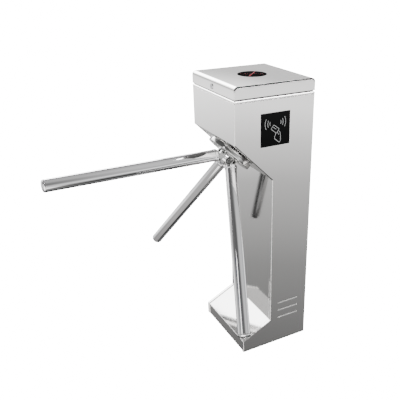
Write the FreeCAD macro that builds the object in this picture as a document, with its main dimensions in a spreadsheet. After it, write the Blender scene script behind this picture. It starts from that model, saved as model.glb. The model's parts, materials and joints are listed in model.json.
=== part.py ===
"""Vertical tripod turnstile with a visitor display, a card reader and three folding arms.

Millimetres. +Z is up, -Y is the front, where the arms stand out over the walkway, and +X is the
side with the card reader. The origin is on the floor, in the middle of the four anchor bolts.
"""
import FreeCAD, Part
import Sketcher
import math
import os
from FreeCAD import Placement, Rotation, Vector

doc = FreeCAD.newDocument("tripod_turnstile")
sheet = doc.addObject("Spreadsheet::Sheet", "Sizes")

# Every driving size: alias, value in mm (or degrees, or a count).
SIZES = [
    ("cabinet_width", 308),
    ("cabinet_depth", 300),
    ("panel_gauge", 2),
    ("rim_bottom", 950),
    ("rim_height", 10),
    ("rim_bar", 18),
    ("rim_bevel", 5),
    ("head_edge_height", 816),
    ("head_lip", 10),
    ("recess_set_back", 142),
    ("slope_angle", 45),
    ("foot_top_height", 104),
    ("foot_edge_height", 47),
    ("foot_set_back", 26),
    ("flange_width", 10),
    ("rear_flange_width", 18),
    ("edge_radius", 1.6),
    ("base_thickness", 8),
    ("anchor_spacing_across", 220),
    ("anchor_spacing_deep", 180),
    ("anchor_hole_radius", 7),
    ("gland_radius", 16),
    ("gland_wall", 4),
    ("gland_flange", 5),
    ("screw_radius", 2.5),
    ("screw_head_radius", 5),
    ("screw_gap", 0.2),
    ("lid_gap", 1),
    ("lid_height", 41),
    ("lid_fold_radius", 13),
    ("window_radius", 50),
    ("window_lip", 5),
    ("window_flange", 1.5),
    ("window_proud", 0.5),
    ("fit_gap", 0.2),
    ("lock_height", 16),
    ("lock_radius", 7),
    ("lock_plug_radius", 5),
    ("hinge_reach", 90),
    ("hinge_pin_radius", 2),
    ("hinge_knuckle_radius", 4),
    ("hinge_leaf_length", 50),
    ("hinge_leaf_height", 24),
    ("hinge_leaf_thickness", 1.6),
    ("reader_size", 110),
    ("reader_height", 851),
    ("reader_depth", 20),
    ("reader_lip", 5),
    ("reader_wall", 2.5),
    ("board_thickness", 1.6),
    ("louvre_length", 84),
    ("louvre_width", 4),
    ("louvre_pitch", 32.5),
    ("louvre_lowest", 108.5),
    ("louvre_centre", 67),
    ("hub_drop", 96),
    ("hub_gap", 2),
    ("hub_disc_radius", 85),
    ("hub_disc_height", 17),
    ("hub_skin", 3),
    ("apex_height", 10.5),
    ("shaft_radius", 12.5),
    ("bearing_radius", 23.5),
    ("bearing_width", 12),
    ("running_gap", 0.03),
    ("mechanism_width", 220),
    ("mechanism_height", 110),
    ("mechanism_length", 100),
    ("pillar_radius", 6),
    ("wheel_radius", 34),
    ("wheel_width", 10),
    ("roller_radius", 7),
    ("index_notch_radius", 8),
    ("index_notch_out", 4.5),
    ("lock_notch_radius", 6),
    ("bolt_radius", 4),
    ("bolt_gap", 1.5),
    ("sensor_disc_radius", 30),
    ("sensor_disc_thickness", 2),
    ("arm_radius", 20.5),
    ("arm_wall", 1.5),
    ("arm_reach", 629),
    ("pivot_reach", 36),
    ("pivot_pin_radius", 5),
    ("carrier_radius", 46),
    ("carrier_thickness", 3),
    ("cheek_thickness", 7),
    ("hub_screw_radius", 6.5),
    ("hub_screw_circle", 38),
    ("tongue_width", 14),
    ("collar_start", 13),
    ("collar_length", 13),
    ("collar_proud", 1.3),
    ("cap_length", 4),
]


class Size:
    """A number that also carries the sheet expression it comes from."""

    def __init__(self, number, text=None):
        self.number = float(number)
        self.text = text or repr(self.number)

    def join(self, other, symbol, number):
        """The result of an operation with another size or number, with the text of both."""
        return Size(number, f"({self.text} {symbol} {as_size(other).text})")

    def __add__(self, other):
        return self.join(other, "+", self.number + float(other))

    def __radd__(self, other):
        return as_size(other) + self

    def __sub__(self, other):
        return self.join(other, "-", self.number - float(other))

    def __rsub__(self, other):
        return as_size(other) - self

    def __mul__(self, other):
        return self.join(other, "*", self.number * float(other))

    def __rmul__(self, other):
        return as_size(other) * self

    def __truediv__(self, other):
        return self.join(other, "/", self.number / float(other))

    def __neg__(self):
        return Size(-self.number, f"(0 - {self.text})")

    def __float__(self):
        return self.number


def as_size(value):
    """A plain number as a Size, or a Size as it is."""
    return value if isinstance(value, Size) else Size(value)


def trig(name, angle):
    """The sine, cosine or tangent of an angle in degrees."""
    return Size(getattr(math, name)(math.radians(float(angle))), f"{name}({as_size(angle).text})")


size = {}
for row, (alias, number) in enumerate(SIZES, 1):
    sheet.set(f"A{row}", alias)
    sheet.set(f"B{row}", str(number))
    sheet.setAlias(f"B{row}", alias)
    size[alias] = Size(number, f"Sizes.{alias}")
doc.recompute()

# Cabinet planes worked out from the driving sizes.
gauge = size["panel_gauge"]
half_width = size["cabinet_width"] / 2
inner_half = half_width - gauge
front = -size["cabinet_depth"] / 2
back = size["cabinet_depth"] / 2
rim_bottom = size["rim_bottom"]
rim_top = rim_bottom + size["rim_height"]
lid_bottom = rim_top + size["lid_gap"]
lid_top = lid_bottom + size["lid_height"]
head_edge = size["head_edge_height"]
recess = front + size["recess_set_back"]
slope_end = head_edge - size["recess_set_back"] * trig("tan", size["slope_angle"])
foot_top = size["foot_top_height"]
foot_edge = size["foot_edge_height"]
foot_front = front + size["foot_set_back"]
slope_cos = trig("cos", size["slope_angle"])
slope_sin = trig("sin", size["slope_angle"])

# The hub's own frame: its origin is on the slope's outer face and its +Z points out and down.
hub_y = front + size["hub_drop"] * slope_cos
hub_z = head_edge - size["hub_drop"] * slope_sin
hub_frame = Placement(
    Vector(0, float(hub_y), float(hub_z)),
    Rotation(Vector(1, 0, 0), 180 - float(size["slope_angle"])),
)

finished = []


def bind(target, path, value):
    """Give a property its number, tied to the sheet where it comes from there."""
    value = as_size(value)
    if "Sizes." in value.text:
        target.setExpression(path, value.text)
    else:
        setattr(target, path, value.number)


def new_body(name, placement=None):
    """A named body, standing in the hub's frame if its placement is given."""
    body = doc.addObject("PartDesign::Body", name)
    body.Label = name
    if placement is not None:
        body.Placement = placement
    finished.append(body)
    return body


def new_sketch(body, name, role, offset=0):
    """A sketch on one of the body's own origin planes, raised along the plane's normal."""
    sketch = body.newObject("Sketcher::SketchObject", f"{body.Name}_{name}")
    plane = [f for f in body.Origin.OriginFeatures if f.Role == role][0]
    sketch.AttachmentSupport = [(plane, "")]
    sketch.MapMode = "FlatFace"
    bind_place(sketch, offset)
    return sketch


def bind_place(sketch, offset):
    """Raise a sketch off its plane."""
    offset = as_size(offset)
    sketch.AttachmentOffset = Placement(Vector(0, 0, offset.number), Rotation())
    if "Sizes." in offset.text:
        sketch.setExpression("AttachmentOffset.Base.z", offset.text)


def hold(sketch, kind, geometry, point, value):
    """Fix one coordinate of a point: on the axis when it is zero, else at its bound distance."""
    value = as_size(value)
    if abs(value.number) < 1e-9:
        axis = -2 if kind == "DistanceX" else -1
        sketch.addConstraint(Sketcher.Constraint("PointOnObject", geometry, point, axis))
        return
    index = sketch.addConstraint(
        Sketcher.Constraint(kind, -1, 1, geometry, point, value.number)
    )
    if "Sizes." in value.text:
        sketch.setExpression(f"Constraints[{index}]", value.text)


def polygon(sketch, points):
    """A closed outline with straight sides, every corner held where its sizes put it."""
    corners = [Vector(float(x), float(y), 0) for x, y in points]
    first = sketch.GeometryCount
    count = len(points)
    for i in range(count):
        sketch.addGeometry(Part.LineSegment(corners[i], corners[(i + 1) % count]), False)
    for i in range(count):
        following = first + (i + 1) % count
        sketch.addConstraint(Sketcher.Constraint("Coincident", first + i, 2, following, 1))
    for i, (x, y) in enumerate(points):
        hold(sketch, "DistanceX", first + i, 1, x)
        hold(sketch, "DistanceY", first + i, 1, y)


def rectangle(sketch, low_x, low_y, high_x, high_y):
    """An upright rectangle between two corners."""
    polygon(sketch, [(low_x, low_y), (high_x, low_y), (high_x, high_y), (low_x, high_y)])


def circle(sketch, x, y, radius):
    """A circle with its centre and radius held."""
    radius = as_size(radius)
    shape = Part.Circle(Vector(float(x), float(y), 0), Vector(0, 0, 1), radius.number)
    index = sketch.addGeometry(shape, False)
    hold(sketch, "DistanceX", index, 3, x)
    hold(sketch, "DistanceY", index, 3, y)
    held = sketch.addConstraint(Sketcher.Constraint("Radius", index, radius.number))
    if "Sizes." in radius.text:
        sketch.setExpression(f"Constraints[{held}]", radius.text)


def pad(body, sketch, length, both_ways=False, backwards=False):
    """Add the sketch's outline, drawn out by a length."""
    feature = body.newObject("PartDesign::Pad", f"{sketch.Name}_pad")
    feature.Profile = sketch
    feature.Midplane = both_ways
    feature.Reversed = backwards
    bind(feature, "Length", length)
    sketch.Visibility = False
    doc.recompute()
    return feature


def pocket(body, sketch, length=None, both_ways=False, backwards=False):
    """Cut the sketch's outline, to a depth or right through, and make sure that it did cut."""
    before = body.Shape.Volume
    feature = body.newObject("PartDesign::Pocket", f"{sketch.Name}_pocket")
    feature.Profile = sketch
    feature.Midplane = both_ways
    feature.Reversed = backwards
    if length is None:
        feature.Type = "ThroughAll"
    else:
        bind(feature, "Length", length)
    doc.recompute()
    if not body.Shape.Volume < before - 1e-3:
        raise RuntimeError(f"{feature.Name} cut nothing")
    return feature


def revolve(body, sketch):
    """Turn the sketch's outline about its own vertical axis."""
    feature = body.newObject("PartDesign::Revolution", f"{sketch.Name}_turned")
    feature.Profile = sketch
    feature.ReferenceAxis = (sketch, ["V_Axis"])
    feature.Angle = 360
    doc.recompute()
    return feature


def polar(body, feature, count):
    """Repeat a cut or a boss round the body's own Z axis."""
    pattern = body.newObject("PartDesign::PolarPattern", f"{feature.Name}_round")
    pattern.Originals = [feature]
    axis = [f for f in body.Origin.OriginFeatures if f.Role == "Z_Axis"][0]
    pattern.Axis = (axis, [""])
    pattern.Angle = 360
    pattern.Occurrences = count
    body.Tip = pattern
    doc.recompute()
    return pattern


def fillet(body, feature, radius, test):
    """Round the feature's edges that pass a test on the edge's middle and direction."""
    names = []
    for i, edge in enumerate(feature.Shape.Edges, 1):
        if edge.Curve.TypeId == "Part::GeomLine":
            start, end = edge.Vertexes[0].Point, edge.Vertexes[-1].Point
            if test((start + end) * 0.5, (end - start).normalize()):
                names.append(f"Edge{i}")
    rounded = body.newObject("PartDesign::Fillet", f"{feature.Name}_fillet")
    rounded.Base = (feature, names)
    bind(rounded, "Radius", radius)
    doc.recompute()
    return rounded


def near(a, b):
    """Whether two lengths are the same."""
    return abs(float(a) - float(b)) < 0.01


def primitive(kind, name, **sizes):
    """A Part primitive with its sizes bound."""
    item = doc.addObject(f"Part::{kind}", name)
    for path, value in sizes.items():
        bind(item, path, value)
    return item


def box(name, low, high, frame=None):
    """A box between two corners, in a frame if one is given."""
    spans = [as_size(b) - as_size(a) for a, b in zip(low, high)]
    item = primitive("Box", name, Length=spans[0], Width=spans[1], Height=spans[2])
    corner = Vector(*[float(a) for a in low])
    item.Placement = (frame or Placement()).multiply(Placement(corner, Rotation()))
    return item


def rod(name, radius, start, end, frame=None):
    """A round rod between two points, in a frame if one is given."""
    a = Vector(*[float(v) for v in start])
    b = Vector(*[float(v) for v in end])
    item = primitive("Cylinder", name, Radius=radius)
    item.Height = (b - a).Length
    place = Placement(a, Rotation(Vector(0, 0, 1), b - a))
    item.Placement = (frame or Placement()).multiply(place)
    return item


def joined(name, items):
    """One solid made of several primitives, kept as a sub-part."""
    item = doc.addObject("Part::MultiFuse", name)
    item.Shapes = items
    item.Refine = True
    item.Label = name
    finished.append(item)
    return item


def cut_from(name, base, tools):
    """A base with tools cut from it, kept as a sub-part."""
    tool = tools[0]
    if len(tools) > 1:
        tool = doc.addObject("Part::MultiFuse", f"{name}_tools")
        tool.Shapes = tools
    item = doc.addObject("Part::Cut", name)
    item.Base = base
    item.Tool = tool
    item.Label = name
    finished.append(item)
    return item


def fused(name, items):
    """Several primitives as one solid that a cut then works on."""
    item = doc.addObject("Part::MultiFuse", name)
    item.Shapes = items
    item.Refine = True
    return item


def group(name, items):
    """Identical or matching separate solids that share one node."""
    item = doc.addObject("Part::Compound", name)
    item.Links = items
    item.Label = name
    finished.append(item)
    return item


def keep(item):
    """Count a primitive as a sub-part of its own."""
    finished.append(item)
    return item


def folded_strip(sketch, points, inner, outer):
    """The outline of a folded sheet that follows a line of points at a constant depth.

    The points are where the cabinet's outer faces meet. The two long sides run parallel to
    that line, at the depths inner and outer to its left, and the ends are square.
    """
    count = len(points) - 1
    line = [Vector(float(x), float(y), 0) for x, y in points]
    guides = []
    for i in range(count):
        index = sketch.addGeometry(Part.LineSegment(line[i], line[i + 1]), True)
        guides.append(index)
        hold(sketch, "DistanceX", index, 1, points[i][0])
        hold(sketch, "DistanceY", index, 1, points[i][1])
        hold(sketch, "DistanceX", index, 2, points[i + 1][0])
        hold(sketch, "DistanceY", index, 2, points[i + 1][1])
    sides = []
    for depth in (inner, outer):
        corners = offset_line(line, float(depth))
        side = []
        for i in range(count):
            index = sketch.addGeometry(Part.LineSegment(corners[i], corners[i + 1]), False)
            side.append(index)
            sketch.addConstraint(Sketcher.Constraint("Parallel", index, guides[i]))
            if i:
                sketch.addConstraint(Sketcher.Constraint("Coincident", index - 1, 2, index, 1))
            if float(depth) < 1e-9:
                sketch.addConstraint(Sketcher.Constraint("PointOnObject", index, 1, guides[i]))
                continue
            held = sketch.addConstraint(
                Sketcher.Constraint("Distance", index, 1, guides[i], float(depth))
            )
            sketch.setExpression(f"Constraints[{held}]", as_size(depth).text)
        sides.append(side)
    for end, point in ((0, 1), (-1, 2)):
        a, b = sides[0][end], sides[1][end]
        places = [sketch.getPoint(index, point) for index in (a, b)]
        cap = sketch.addGeometry(Part.LineSegment(*places), False)
        sketch.addConstraint(Sketcher.Constraint("Coincident", a, point, cap, 1))
        sketch.addConstraint(Sketcher.Constraint("Coincident", b, point, cap, 2))
        sketch.addConstraint(Sketcher.Constraint("Perpendicular", cap, guides[end]))
        sketch.addConstraint(Sketcher.Constraint("PointOnObject", guides[end], point, cap))


def offset_line(line, depth):
    """The corners of a line of points moved to its left by a depth."""
    normals = []
    for a, b in zip(line, line[1:]):
        along = (b - a).normalize()
        normals.append(Vector(-along.y, along.x, 0))
    corners = [line[0] + normals[0] * depth]
    for i in range(1, len(normals)):
        both = normals[i - 1] + normals[i]
        reach = depth / (1 + normals[i - 1].dot(normals[i]))
        corners.append(line[i] + both * reach)
    corners.append(line[-1] + normals[-1] * depth)
    return corners


def along_slope(distance):
    """The point at a distance down the slope from the head's lower edge, as (y, z)."""
    return front + distance * slope_cos, head_edge - distance * slope_sin


# --- Cabinet ---------------------------------------------------------------------------------


def make_base_plate():
    """The floor plate with its four anchor holes and the cable inlet."""
    body = new_body("base_plate")
    sketch = new_sketch(body, "plan", "XY_Plane")
    rectangle(sketch, -inner_half, foot_front + 2 * gauge, inner_half, back - gauge)
    pad(body, sketch, size["base_thickness"])
    holes = new_sketch(body, "anchors", "XY_Plane")
    for side in (-1, 1):
        for end in (-1, 1):
            x = side * size["anchor_spacing_across"] / 2
            y = end * size["anchor_spacing_deep"] / 2
            circle(holes, x, y, size["anchor_hole_radius"])
    pocket(body, holes, size["base_thickness"], backwards=True)
    inlet = new_sketch(body, "inlet", "XY_Plane")
    circle(inlet, 0, size["anchor_spacing_deep"] / 4, size["gland_radius"])
    pocket(body, inlet, size["base_thickness"], backwards=True)


def make_cable_gland():
    """The grommet that lines the cable inlet in the floor plate."""
    place = Placement(Vector(0, float(size["anchor_spacing_deep"] / 4), 0), Rotation())
    body = new_body("cable_gland", place)
    sketch = new_sketch(body, "section", "XZ_Plane")
    outer = size["gland_radius"]
    inner = outer - size["gland_wall"]
    rim = outer + size["gland_flange"]
    top = size["base_thickness"]
    lip = 3
    polygon(sketch, [(inner, 1), (outer, 1), (outer, top), (rim, top), (rim, top + lip), (inner, top + lip)])
    revolve(body, sketch)


def make_side_panel(name, side):
    """One side sheet with its folded flanges; the right one has the reader and louvre holes."""
    body = new_body(name)
    inner = side * inner_half
    outer = side * half_width
    low = outer if side < 0 else inner
    sketch = new_sketch(body, "outline", "YZ_Plane", low)
    polygon(sketch, [
        (foot_front, 0),
        (back, 0),
        (back, rim_bottom),
        (front, rim_bottom),
        (front, head_edge),
        (recess, slope_end),
        (recess, foot_top),
        (foot_front, foot_edge),
    ])
    plate = pad(body, sketch, gauge)
    fillet(body, plate, size["edge_radius"], lambda middle, along: (
        near(middle.x, outer)
        and abs(along.z) > 0.99
        and (near(middle.y, front) or near(middle.y, back))
    ))
    flange = new_sketch(body, "flange", "YZ_Plane", inner)
    fold_gap = 0.5
    folded_strip(flange, [
        along_slope(size["head_lip"] + fold_gap),
        (recess, slope_end),
        (recess, foot_top),
        (foot_front, foot_edge),
        (foot_front, 0),
    ], 0, gauge)
    pad(body, flange, size["flange_width"], backwards=side > 0)
    rear = new_sketch(body, "rear_flange", "YZ_Plane", inner)
    rectangle(rear, back - 2 * gauge, size["base_thickness"], back - gauge, rim_bottom)
    pad(body, rear, size["rear_flange_width"], backwards=side > 0)
    if side > 0:
        window = new_sketch(body, "reader_hole", "YZ_Plane", inner)
        half = size["reader_size"] / 2 + size["fit_gap"]
        height = size["reader_height"]
        rectangle(window, -half, height - half, half, height + half)
        pocket(body, window, gauge, backwards=True)
        louvres = new_sketch(body, "louvre_holes", "YZ_Plane", inner)
        reach = size["louvre_length"] / 2
        for i in range(3):
            middle = size["louvre_lowest"] + i * size["louvre_pitch"]
            low_y = size["louvre_centre"] - reach
            high_y = size["louvre_centre"] + reach
            half_slot = size["louvre_width"] / 2
            rectangle(louvres, low_y, middle - half_slot, high_y, middle + half_slot)
        pocket(body, louvres, gauge, backwards=True)


def make_head_front_panel():
    """The head's front sheet, folded back under its lower edge."""
    body = new_body("head_front_panel")
    sketch = new_sketch(body, "section", "YZ_Plane")
    points = [(front, rim_bottom), (front, head_edge), along_slope(size["head_lip"])]
    folded_strip(sketch, points, 0, gauge)
    pad(body, sketch, 2 * inner_half, both_ways=True)


def make_centre_panel():
    """One folded sheet: the slope under the head, the recess, the foot's slope and its front."""
    body = new_body("centre_panel")
    sketch = new_sketch(body, "section", "YZ_Plane")
    points = [
        along_slope(2 * gauge),
        (recess, slope_end),
        (recess, foot_top),
        (foot_front, foot_edge),
        (foot_front, 0),
    ]
    folded_strip(sketch, points, gauge, 2 * gauge)
    pad(body, sketch, 2 * inner_half, both_ways=True)
    tool = new_sketch(body, "shaft_hole", "XY_Plane")
    tool.AttachmentSupport = []
    tool.MapMode = "Deactivated"
    tool.Placement = hub_frame
    clearance = 8
    depth = 8 * gauge
    circle(tool, 0, 0, size["bearing_radius"] + clearance)
    pocket(body, tool, depth, both_ways=True)


def make_rear_panel():
    """The flat rear sheet, with holes for its screws and a row of vent slots."""
    body = new_body("rear_panel")
    sketch = new_sketch(body, "outline", "XZ_Plane", -back)
    rectangle(sketch, -inner_half, 0, inner_half, rim_bottom)
    pad(body, sketch, gauge)
    holes = new_sketch(body, "screw_holes", "XZ_Plane", -back)
    for x, z in rear_screw_places():
        circle(holes, x, z, size["screw_radius"] + size["screw_gap"])
    pocket(body, holes, gauge, backwards=True)
    vents = new_sketch(body, "vents", "XZ_Plane", -back)
    reach = size["louvre_length"] / 2
    lowest = rim_bottom - 130
    pitch = 3 * size["louvre_width"]
    for i in range(6):
        low = lowest + i * pitch
        rectangle(vents, -reach, low, reach, low + size["louvre_width"])
    pocket(body, vents, gauge, backwards=True)


def rear_screw_places():
    """Where the rear panel's screws go, as (x, z), down both edges."""
    x = inner_half - size["rear_flange_width"] / 2
    rows = 4
    lowest = 50
    pitch = (rim_bottom - 120) / (rows - 1)
    return [(side * x, lowest + i * pitch) for side in (-1, 1) for i in range(rows)]


def make_rear_panel_screws():
    """Button-head screws through the rear panel into the side panels' flanges."""
    screws = []
    head_height = 2.8
    socket_radius = 1.6
    socket_depth = 1.6
    top = back + head_height
    tip = back - 2 * gauge - 6
    for i, (x, z) in enumerate(rear_screw_places()):
        head = rod(f"rear_head_{i}", size["screw_head_radius"], (x, back, z), (x, top, z))
        shank = rod(f"rear_shank_{i}", size["screw_radius"], (x, tip, z), (x, back, z))
        socket = rod(f"rear_socket_{i}", socket_radius, (x, top - socket_depth, z), (x, top + 1, z))
        screw = doc.addObject("Part::Cut", f"rear_screw_{i}")
        screw.Base = fused(f"rear_blank_{i}", [head, shank])
        screw.Tool = socket
        screws.append(screw)
    group("rear_panel_screws", screws)


def open_rear_flanges():
    """Holes in both side panels' rear flanges for the rear panel's screws."""
    for body in finished:
        if body.Name in ("side_panel_left", "side_panel_right"):
            side = -1 if body.Name.endswith("left") else 1
            holes = new_sketch(body, "rear_holes", "XZ_Plane", -(back - gauge))
            for x, z in rear_screw_places():
                if float(x) * side > 0:
                    circle(holes, x, z, size["screw_radius"] + size["screw_gap"])
            pocket(body, holes, gauge, backwards=True)


def make_top_rim():
    """The bevelled ring that finishes the top of the cabinet under the lid."""
    body = new_body("top_rim")
    sketch = new_sketch(body, "plan", "XY_Plane", rim_bottom)
    rectangle(sketch, -half_width, front, half_width, back)
    bar = size["rim_bar"]
    rectangle(sketch, -half_width + bar, front + bar, half_width - bar, back - bar)
    ring = pad(body, sketch, size["rim_height"])
    names = []
    for i, edge in enumerate(ring.Shape.Edges, 1):
        box_of_edge = edge.BoundBox
        on_top = near(box_of_edge.ZMin, rim_top)
        long_enough = box_of_edge.DiagonalLength > float(size["cabinet_depth"]) - 1
        if on_top and long_enough:
            names.append(f"Edge{i}")
    bevel = body.newObject("PartDesign::Chamfer", "top_rim_bevel")
    bevel.Base = (ring, names)
    bind(bevel, "Size", size["rim_bevel"])
    doc.recompute()


# --- Lid -------------------------------------------------------------------------------------


def lid_outline(sketch):
    """The lid's closed end profile before its folds are rounded."""
    rectangle(sketch, front, lid_bottom, back, lid_top)


def make_lid_end(name, side):
    """One end plate of the lid."""
    body = new_body(name)
    low = -half_width if side < 0 else inner_half
    sketch = new_sketch(body, "outline", "YZ_Plane", low)
    lid_outline(sketch)
    plate = pad(body, sketch, gauge)
    fillet(body, plate, size["lid_fold_radius"], lambda middle, along: (
        near(middle.z, lid_top) and abs(along.x) > 0.99
    ))


def make_lid_shell():
    """The lid's sheet, folded down at the front and the back, with the display and lock holes."""
    body = new_body("lid_shell")
    outside = new_sketch(body, "outside", "YZ_Plane")
    lid_outline(outside)
    block = pad(body, outside, 2 * inner_half, both_ways=True)
    rounded = fillet(body, block, size["lid_fold_radius"], lambda middle, along: (
        near(middle.z, lid_top) and abs(along.x) > 0.99
    ))
    body.Tip = rounded
    inside = new_sketch(body, "inside", "YZ_Plane")
    radius = size["lid_fold_radius"] - gauge
    low_y = front + gauge
    high_y = back - gauge
    top = lid_top - gauge
    first_y = low_y + radius
    last_y = high_y - radius
    rectangle(inside, low_y, lid_bottom - gauge, high_y, top - radius)
    pocket(body, inside, 2 * inner_half, both_ways=True)
    crown = new_sketch(body, "crown", "YZ_Plane")
    rectangle(crown, first_y, top - 2 * radius, last_y, top)
    pocket(body, crown, 2 * inner_half, both_ways=True)
    for label, y in (("front_fold", first_y), ("back_fold", last_y)):
        fold = new_sketch(body, label, "YZ_Plane")
        circle(fold, y, top - radius, radius)
        pocket(body, fold, 2 * inner_half, both_ways=True)
    display = new_sketch(body, "display_hole", "XY_Plane", lid_top - 2 * gauge)
    circle(display, 0, 0, size["window_radius"] + size["fit_gap"])
    pocket(body, display, 4 * gauge, backwards=True)
    lock = new_sketch(body, "lock_hole", "XZ_Plane", -(front - 1))
    circle(lock, 0, lid_bottom + size["lock_height"], size["lock_radius"] + size["fit_gap"])
    pocket(body, lock, 3 * gauge)


def make_display_window():
    """The round dark window in the lid, held from below by its lip."""
    body = new_body("display_window")
    sketch = new_sketch(body, "section", "XZ_Plane")
    under = lid_top - gauge
    low = under - size["window_flange"]
    radius = size["window_radius"]
    top = lid_top + size["window_proud"]
    lip = radius + size["window_lip"]
    polygon(sketch, [(0, low), (lip, low), (lip, under), (radius, under), (radius, top), (0, top)])
    revolve(body, sketch)


def make_display_board():
    """The display's circuit board and its block of lamps, under the window."""
    top = lid_top - gauge - size["window_flange"]
    lamp_height = 8
    lamp_reach = size["window_radius"] * 0.6
    face = top - lamp_height
    low = face - size["board_thickness"]
    board = rod("display_disc", size["window_radius"], (0, 0, low), (0, 0, face))
    lamps = box("display_lamps", (-lamp_reach, -lamp_reach, face), (lamp_reach, lamp_reach, top))
    joined("display_board", [board, lamps])


def hinge_axis():
    """The lid hinge's axis, as (y, z): just clear of the cabinet's back, level with the lid's gap."""
    clear = 0.3
    return back + size["hinge_knuckle_radius"] + clear, rim_top + size["lid_gap"] / 2


def hinge_leaf(name, centre, up):
    """One leaf of a butt hinge: a plate, its knuckles, and the pin's bore through them."""
    y, z = hinge_axis()
    half = size["hinge_leaf_length"] / 2
    thickness = size["hinge_leaf_thickness"]
    knuckle = size["hinge_knuckle_radius"]
    split = half * 0.36
    side_gap = 0.3
    root_gap = 0.4
    sign = 1 if up else -1
    middle = split - side_gap
    rows = [(-half, -split), (split, half)] if up else [(-middle, middle)]
    far = z + sign * size["hinge_leaf_height"]
    start = z + sign * (knuckle + root_gap)
    low, high = (start, far) if up else (far, start)
    root_low, root_high = (z, start) if up else (start, z)
    face = back + thickness
    web_back = back + 0.2
    parts = [box(f"{name}_plate", (centre - half, back, low), (centre + half, face, high))]
    for i, (a, b) in enumerate(rows):
        web_low = (centre + a, web_back, root_low)
        web_high = (centre + b, face, root_high)
        parts.append(box(f"{name}_web_{i}", web_low, web_high))
        parts.append(rod(f"{name}_roll_{i}", knuckle, (centre + a, y, z), (centre + b, y, z)))
    blank = fused(f"{name}_blank", parts)
    bore_radius = size["hinge_pin_radius"] + size["running_gap"]
    ends = [(centre - half - 1, y, z), (centre + half + 1, y, z)]
    bore = rod(f"{name}_bore", bore_radius, *ends)
    leaf = doc.addObject("Part::Cut", name)
    leaf.Base = blank
    leaf.Tool = bore
    return leaf


def make_lid_hinges():
    """Two butt hinges behind the lid, with their pins."""
    y, z = hinge_axis()
    reach = size["hinge_leaf_length"] / 2 + 1
    fixed, moving, pins = [], [], []
    for label, side in (("left", -1), ("right", 1)):
        centre = side * size["hinge_reach"]
        fixed.append(hinge_leaf(f"fixed_leaf_{label}", centre, False))
        moving.append(hinge_leaf(f"moving_leaf_{label}", centre, True))
        ends = [(centre - reach, y, z), (centre + reach, y, z)]
        pins.append(rod(f"hinge_pin_{label}", size["hinge_pin_radius"], *ends))
    group("lid_hinge_fixed_leaves", fixed)
    group("lid_hinge_moving_leaves", moving)
    group("lid_hinge_pins", pins)


def make_lid_lock():
    """The cam lock in the lid's front: its barrel, its plug with the cam, and the rim's catch."""
    z = lid_bottom + size["lock_height"]
    radius = size["lock_radius"]
    plug = size["lock_plug_radius"]
    plug_gap = 0.05
    flange_proud = 2.2
    nut_height = 4
    reach = front + 22
    outside = front - flange_proud
    inside = front + gauge
    flange = rod("lock_flange", radius + 2, (0, outside, z), (0, front, z))
    sleeve = rod("lock_sleeve", radius, (0, front, z), (0, reach, z))
    nut = rod("lock_nut", radius + 2.5, (0, inside, z), (0, inside + nut_height, z))
    bore = rod("lock_bore", plug + plug_gap, (0, outside - 1, z), (0, reach + 1, z))
    cut_from("lid_lock_barrel", fused("lock_barrel_blank", [flange, sleeve, nut]), [bore])
    blade_half = 6
    blade_low = reach + 0.5
    blade_high = blade_low + gauge
    blade_drop = 18
    core = rod("lock_core", plug, (0, outside, z), (0, blade_high + 0.5, z))
    blade_ends = (-blade_half, blade_low, z - blade_drop), (blade_half, blade_high, z + blade_half)
    blade = box("lock_blade", *blade_ends)
    key_half = 0.8
    key_reach = 3.5
    keyway = box("lock_keyway", (-key_half, outside - 1, z - key_reach), (key_half, front + 8, z + key_reach))
    cut_from("lid_lock_cam", fused("lock_cam_blank", [core, blade]), [keyway])
    low, high = reach - 3, reach + 5
    post_near, post_far = 22, 28
    finger_low, finger_high = z + 8, z + 11
    foot_top = rim_top + 3
    post = box("catch_post", (post_near, low, rim_top), (post_far, high, finger_high))
    finger = box("catch_finger", (2 * blade_half, low, finger_low), (post_far, high, finger_high))
    foot = box("catch_foot", (post_near, front + 6, rim_top), (2 * post_near, high, foot_top))
    joined("lid_catch", [post, finger, foot])


# --- Card reader -----------------------------------------------------------------------------


def make_reader():
    """The reader's dark window, the housing behind it and its aerial board."""
    half = size["reader_size"] / 2
    z = size["reader_height"]
    proud = 1
    lip_thickness = 2
    body = new_body("reader_window")
    sketch = new_sketch(body, "face", "YZ_Plane", inner_half)
    rectangle(sketch, -half, z - half, half, z + half)
    face = pad(body, sketch, gauge + proud)
    rounded = fillet(body, face, 0.6, lambda middle, along: near(middle.x, half_width + proud))
    body.Tip = rounded
    lip = new_sketch(body, "lip", "YZ_Plane", inner_half)
    edge = half + size["reader_lip"]
    rectangle(lip, -edge, z - edge, edge, z + edge)
    pad(body, lip, lip_thickness, backwards=True)
    wall = size["reader_wall"]
    x = inner_half - lip_thickness
    low_x = x - size["reader_depth"]
    room = edge - wall
    floor_x = low_x + wall
    outside = box("reader_outside", (low_x, -edge, z - edge), (x, edge, z + edge))
    inside = box("reader_inside", (floor_x, -room, z - room), (x + 1, room, z + room))
    cut_from("reader_housing", outside, [inside])
    leg_radius = 3
    sheet_x = floor_x + 6
    sheet_far = sheet_x + size["board_thickness"]
    sheet_half = half - 4
    low_corner = (sheet_x, -sheet_half, z - sheet_half)
    board = box("reader_sheet", low_corner, (sheet_far, sheet_half, z + sheet_half))
    reach = half - 12
    legs = []
    for i, (a, b) in enumerate([(-1, -1), (-1, 1), (1, -1), (1, 1)]):
        y, height = a * reach, z + b * reach
        legs.append(rod(f"reader_leg_{i}", leg_radius, (floor_x, y, height), (sheet_x, y, height)))
    joined("reader_board", [board] + legs)


# --- Mechanism -------------------------------------------------------------------------------

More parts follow.
